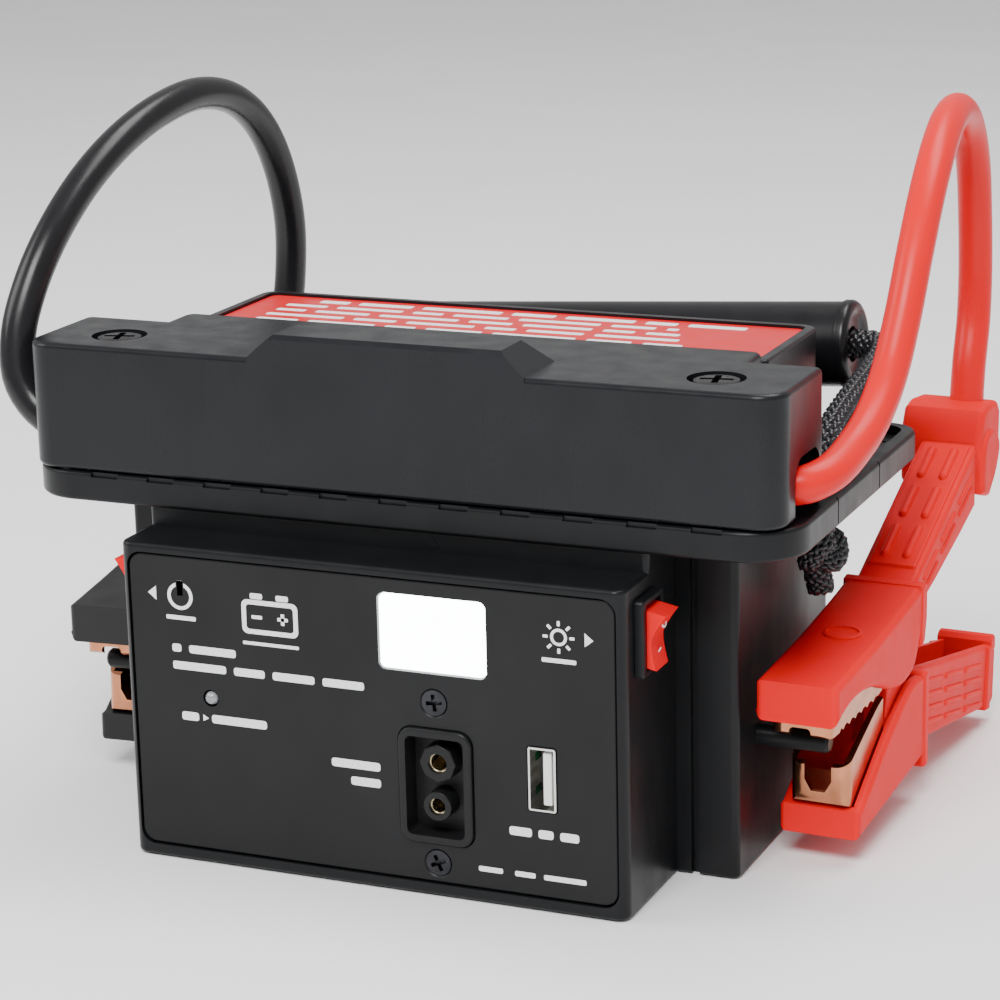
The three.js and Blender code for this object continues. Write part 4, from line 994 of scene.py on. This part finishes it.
def make_knot(name, side):
    """A trefoil knot under the flange, with the rope coming down into it and a short tail."""
    x = side * HOLE_X
    size, middle, turns = 1.42 * 0.86, 62.4, 33
    knot = []
    for i in range(turns + 1):
        t = 2 * math.pi * (i / turns) * 0.985
        knot.append((
            x + size * (math.sin(t) + 2 * math.sin(2 * t)),
            HOLE_Y + size * (math.cos(t) - 2 * math.cos(2 * t)),
            middle - 2.1 * math.sin(3 * t),
        ))
    neck = [(x, HOLE_Y, 79.6), (x, HOLE_Y, 74), (x + 0.3, HOLE_Y - 0.4, 68.6), (x, HOLE_Y, 63.5)]
    tail = [(x, HOLE_Y, 61.5), (x - 0.6, HOLE_Y + 0.4, 58), (x - 0.2, HOLE_Y + 1.2, 55),
            (x, HOLE_Y + 1.2, 53.2)]
    mesh = heap([braided(neck, 2.9), braided(knot, 2.3, 13.0, 0.6), braided(tail, 2.7)])
    look(name, mesh, smooth_deg=80, weighted=False)


# ---- Clamps, drawn about the pivot: -Y to the jaws, +Y to the handles ----

# Each clamp's pivot, its turn about Z, and how far its lower half is open, in degrees.
CLAMPS = {"red": ((81.9, 24, 38), -2.9, 0), "black": ((-81.3, 24, 38), 5, -3)}
SLOPE_UP = (31.5 - 11.6) / (53 - 11)
SLOPE_DOWN = 1.06 * (-20.5 + 9.6) / (69 - 16)
GRIP_WIDTH, GRIP_ROOM = (-6.6, 6.6), (-4.6, 4.6)


def flowing(points, step=1.2):
    """A smooth line through outline points, as (u, v) pairs."""
    line, _ = smooth_points([(u, v, 0) for u, v in points], step)
    return [(p.x, p.y) for p in line]


def bars_along(rows, first, pitch, length, r, surface):
    """Rounded bars, three to a row, on a sloping surface: surface(y, row) gives a point on it."""
    bars = []
    for column in range(3):
        for row in rows:
            start = first + column * pitch
            bars.append(capsule(surface(start, row), surface(start + length, row), r))
    return bars


def upper_arm():
    under = flowing([(-44, -4), (-39.5, -2.4), (-32, -1.2), (-20, -2.7), (-9, -6.7), (-1, -7.6), (4.6, -5.6),
                     (7.4, -1.4), (9.6, 2)])
    top = flowing([(9.6, 10.9), (0, 9.3), (-20, 6.6), (-44, 4.4)], 3)
    jaw = prism(under + top, (-8.7, 8.7), "x", 1.5, "both", 4)
    grip = prism([(8, 0.8), (11, 3.6), (24, 7.4), (41, 13.1), (51.7, 17), (51.7, 30.9), (11, 11.6),
                  (8, 10.3)], GRIP_WIDTH, "x", 1.1, "both", 4)
    band = prism([(7.2, -2), (8.6, -2.6), (10, -1.4), (11.2, 3.2), (11.2, 10.6), (9.6, 11.3), (7.8, 10.9)],
                 (-9, 9), "x", 0.7)
    panel = prism([(13.5, 12.1), (50.5, 29.6), (50.5, 30.9), (13.5, 13.4)], (-5.3, 5.3), "x", 0.4)
    ring = carve(turned_mesh([(0, -1), (4.6, -1), (4.6, 0.25), (4.2, 0.42), (0, 0.42)], None, 48),
                 cut=[turned_mesh([(0, -0.5), (3.9, -0.5), (3.9, 2), (0, 2)], None, 48)])
    ring.transform(Matrix.Diagonal((0.9, 0.72, 1, 1)))
    ring.transform(placed((0, -17, 7.0), (6, "X")))
    rooms = [
        prism([(-42, -20), (7.9, -20), (7.9, 7.4), (-42, 1.8)], (-6.7, 6.7), "x"),
        prism([(5, -20), (49.7, -20), (49.7, 27.6), (11.6, 9.4), (5, 7.2)], GRIP_ROOM, "x"),
    ]

    def top_surface(y, row):
        return (row, y, 12.1 + (y - 11) * SLOPE_UP)

    def side_surface(sign):
        return lambda y, row: (sign * 6.45, y, 8.3 + row + (y - 15) * 0.44)

    bars = bars_along((-2.5, 2.5), 15.5, 12, 9.6, 1.05, top_surface)
    for sign in (-1, 1):
        bars += bars_along((-0.9, 1.7), 15, 12, 9.6, 0.65, side_surface(sign))
    return heap([carve(jaw, add=[grip, band, panel, ring], cut=rooms), *bars])


def lower_arm():
    top = flowing([(12.4, -9.9), (4, -9.3), (-7, -13.5), (-22, -22), (-28.4, -26)], 2)
    jaw = prism([(-30.5, -26.3), (-30.5, -32.4), (11, -27.9), (12.4, -27), *top],
                (-8.7, 8.7), "x", 1.3, "both", 4)
    grip = prism([(11, -27.4), (14.5, -26), (60, -33.6), (66.8, -34.4), (68.4, -33.4), (69.3, -21.6),
                  (68.4, -20.4), (16, -9.7), (11, -9.6)], GRIP_WIDTH, "x", 1.1, "both", 4)
    band = block((9.9, 13.1), (-30.6, -9.0), 1.3, (-9.1, 9.1), "x", 0.9)
    end_band = prism([(60.6, -34.1), (63.6, -34.5), (65.3, -20.1), (62.3, -19.4)], (-7.3, 7.3), "x", 0.5)
    end_wall = prism([(66, -22), (69.2, -21.6), (69.4, -18.9), (68.4, -18), (67, -18.2), (66, -19.2)],
                     GRIP_WIDTH, "x", 0.6)
    rooms = [
        prism([(-28.5, -30.2), (9.8, -25.8), (9.8, 12), (-28.5, 12)], (-6.7, 6.7), "x"),
        prism([(9, -25.4), (14.5, -23.4), (59.6, -31.2), (66.2, -31.6), (67.2, 10), (9, 10)], GRIP_ROOM, "x"),
    ]
    arm = carve(jaw, add=[grip, band, end_band], cut=rooms)
    ear = prism(flowing([(-8, -14), (-6, -3), (-4, 4), (0, 5.4), (4, 4), (5.6, -3), (6, -13)], 1),
                (-6.3, 6.3), "x", 0.4)
    ears = carve(ear, cut=[block((-20, 20), (-20, 20), 0, (-4.3, 4.3), "x"),
                           prism(disc(0, 0, 2.8), (-20, 20), "x")])

    def side_surface(sign):
        return lambda y, row: (sign * 6.5, y, -13 - row + (y - 15) * SLOPE_DOWN)

    bars = []
    for sign in (-1, 1):
        bars += bars_along((0, 3.1, 6.2, 9.3), 17, 14.2, 12.2, 0.7, side_surface(sign))
    return heap([arm, end_wall, ears, *bars])


def copper_jaw(side, room, plan, notch, notch_y):
    """Pressed copper-plated channel: a side outline, hollowed and notched, inside a rounded plan."""
    cuts = [prism(room, (-5.1, 5.1), "x"), prism(notch, notch_y, "y")]
    return carve(prism(side, (-20, 20), "x"), cut=cuts, keep=[prism(plan, (-60, 60))])


def upper_jaw():
    side = [(-41.8, 1.2), (-41.8, -6.6), (-40.6, -7.4), (-36, -7.5)]
    for tooth in range(6):
        y = -35 + tooth * 3.6
        side += [(y, -6.8), (y + 1.2, -7.5), (y + 2.4, -6.8)]
    side += [(-12.5, -7), (-9, -6.2), (-9, 1.2)]
    room = [(-40.4, -30), (-4, -30), (-4, 0), (-40.4, 0)]
    plan = rounded_rect((-6.3, 6.3), (-41.8, -9), (2.6, 2.6, 0.5, 0.5))
    notch = rounded_rect((-2.3, 2.3), (-20, -5.4), (0, 0, 1, 1))
    return copper_jaw(side, room, plan, notch, (-44, -39))


def lower_jaw():
    edge = flowing([(-9.3, -8.4), (-13, -9.4), (-20, -12.2), (-27, -15.2), (-31.3, -17)], 1)
    side = [(-31.3, -23.4), (-30.6, -25.1), (-29, -25.8), (-28, -25.8), (-20, -28.4), (-9.3, -27.4), *edge]
    room = [(-30.1, -22.8), (-29.2, -24.4), (-27.8, -24.6), (-19.9, -27.2), (-8, -26.2), (-8, 5), (-30.1, 5)]
    plan = rounded_rect((-6.4, 6.4), (-31.3, -9.3), (3, 3, 0.5, 0.5))
    notch = [(-2.9, 0), (-2.9, -20.2), (-1.5, -22.6), (1.5, -22.6), (2.9, -20.2), (2.9, 0)]
    return copper_jaw(side, room, plan, notch, (-33, -28))


def cable_boot():
    side = [(52, 21), (52, 33.4), (54.4, 38), (58.4, 38.9), (65.2, 38.2), (66.8, 36), (66.6, 29),
            (62.8, 23.6), (58, 20.6)]
    body = prism(side, (-11.4, 7.4), "x", 1.6, "both", 5)
    cheek = flowing([(52.4, 19.5), (52.2, 26), (54, 32), (60, 33), (64.6, 29), (62.4, 23), (57, 18)], 1.5)
    return heap([body, prism(cheek, (4.6, 8.2), "x", 1.2, "both", 4)])


def coil_spring():
    turns, steps = 3, 26
    line = []
    for i in range(turns * steps + 1):
        a = 2 * math.pi * i / steps
        line.append(Vector((-3 + 6 * i / (turns * steps), 4.1 * math.cos(a), 4.1 * math.sin(a))))
    return mesh_of("spring", lambda bm: sweep(bm, line, 0.65, 10))


def make_clamps():
    pin = [(0, -7.6), (2.2, -7.6), (2.5, -7.3), (2.5, 7.3), (2.2, 7.6), (0, 7.6)]
    still = {
        "upper_arm": upper_arm(),
        "upper_jaw": upper_jaw(),
        "cable_boot": cable_boot(),
        "spring": coil_spring(),
        "pivot_pin": turned_mesh(pin, Matrix.Rotation(math.radians(90), 4, "Y"), 40),
    }
    turning = {"lower_arm": lower_arm(), "lower_jaw": lower_jaw()}
    for colour, (pivot, yaw, bite) in CLAMPS.items():
        facing = placed(pivot, (yaw, "Z"))
        tipped = placed(pivot, (yaw, "Z"), (bite, "X"))
        for group, place in ((still, facing), (turning, tipped)):
            for part, mesh in group.items():
                look(f"{colour}_clamp_{part}", mesh, place, f"{colour}_{part}_look")


make_case()
make_control_box()
make_panel()
make_charger()
make_usb()
make_lights()
make_screws()
make_switch("light_switch", 1)
make_switch("main_switch", -1)
make_cover()
make_lid()
make_printing()
make_handle()
make_knot("rope_knot_left", -1)
make_knot("rope_knot_right", 1)
make_clamps()


# ---- Hidden pieces: the CAD shape with its edges rounded ----

EDGES = {
    "light_board": 0.1, "control_board": 0.1, "main_relay": 0.6, "battery": 1.5,
    "terminal_positive": 0.5, "terminal_negative": 0.5, "red_lug": 0.3, "black_lug": 0.3,
    "terminal_bolt_positive": 0.3, "terminal_bolt_negative": 0.3,
    "cable_saddle_left": 0.6, "cable_saddle_right": 0.6,
}

for node, width in EDGES.items():
    refined(node, width)

for node, piece in NODES.items():
    piece.data.materials.clear()
    piece.data.materials.append(MATERIALS[SLOT_OF[node]])


# ---- Floor and light ----


def make_stage():
    mesh = mesh_of("floor", lambda bm: bmesh.ops.create_circle(bm, cap_ends=True, segments=96, radius=4.0))
    floor = bpy.data.objects.new("floor", mesh)
    m = Nodes("floor_paint")
    tone = m.noise(60, 2)
    m.link(m.blend(m.spread(tone, 0, 1), (0.92, 0.92, 0.92), (0.9, 0.9, 0.9)), m.shader.inputs["Base Color"])
    m.shader.inputs["Roughness"].default_value = 0.7
    mesh.materials.append(m.material)
    scene.collection.objects.link(floor)
    floor.location.z = -0.0003

    world = bpy.data.worlds.new("studio")
    scene.world = world
    world.use_nodes = True
    background = world.node_tree.nodes["Background"]
    background.inputs["Color"].default_value = (1, 1, 1, 1)
    background.inputs["Strength"].default_value = 0.62


def softbox(name, at, aim, size, power):
    data = bpy.data.lights.new(name, "AREA")
    data.shape = "RECTANGLE"
    data.size, data.size_y = size
    data.energy = power
    light = bpy.data.objects.new(name, data)
    light.location = at
    light.rotation_euler = (Vector(aim) - Vector(at)).to_track_quat("-Z", "Y").to_euler()
    scene.collection.objects.link(light)


make_stage()
softbox("key", (0.12, -0.75, 1.0), (0, 0, 0.05), (0.55, 0.45), 16)
softbox("fill", (-0.95, -0.35, 0.7), (0, 0, 0.05), (0.6, 0.6), 6)
softbox("top", (0.25, 0.4, 1.2), (0, 0, 0.08), (0.9, 0.5), 12)

bpy.context.view_layer.update()
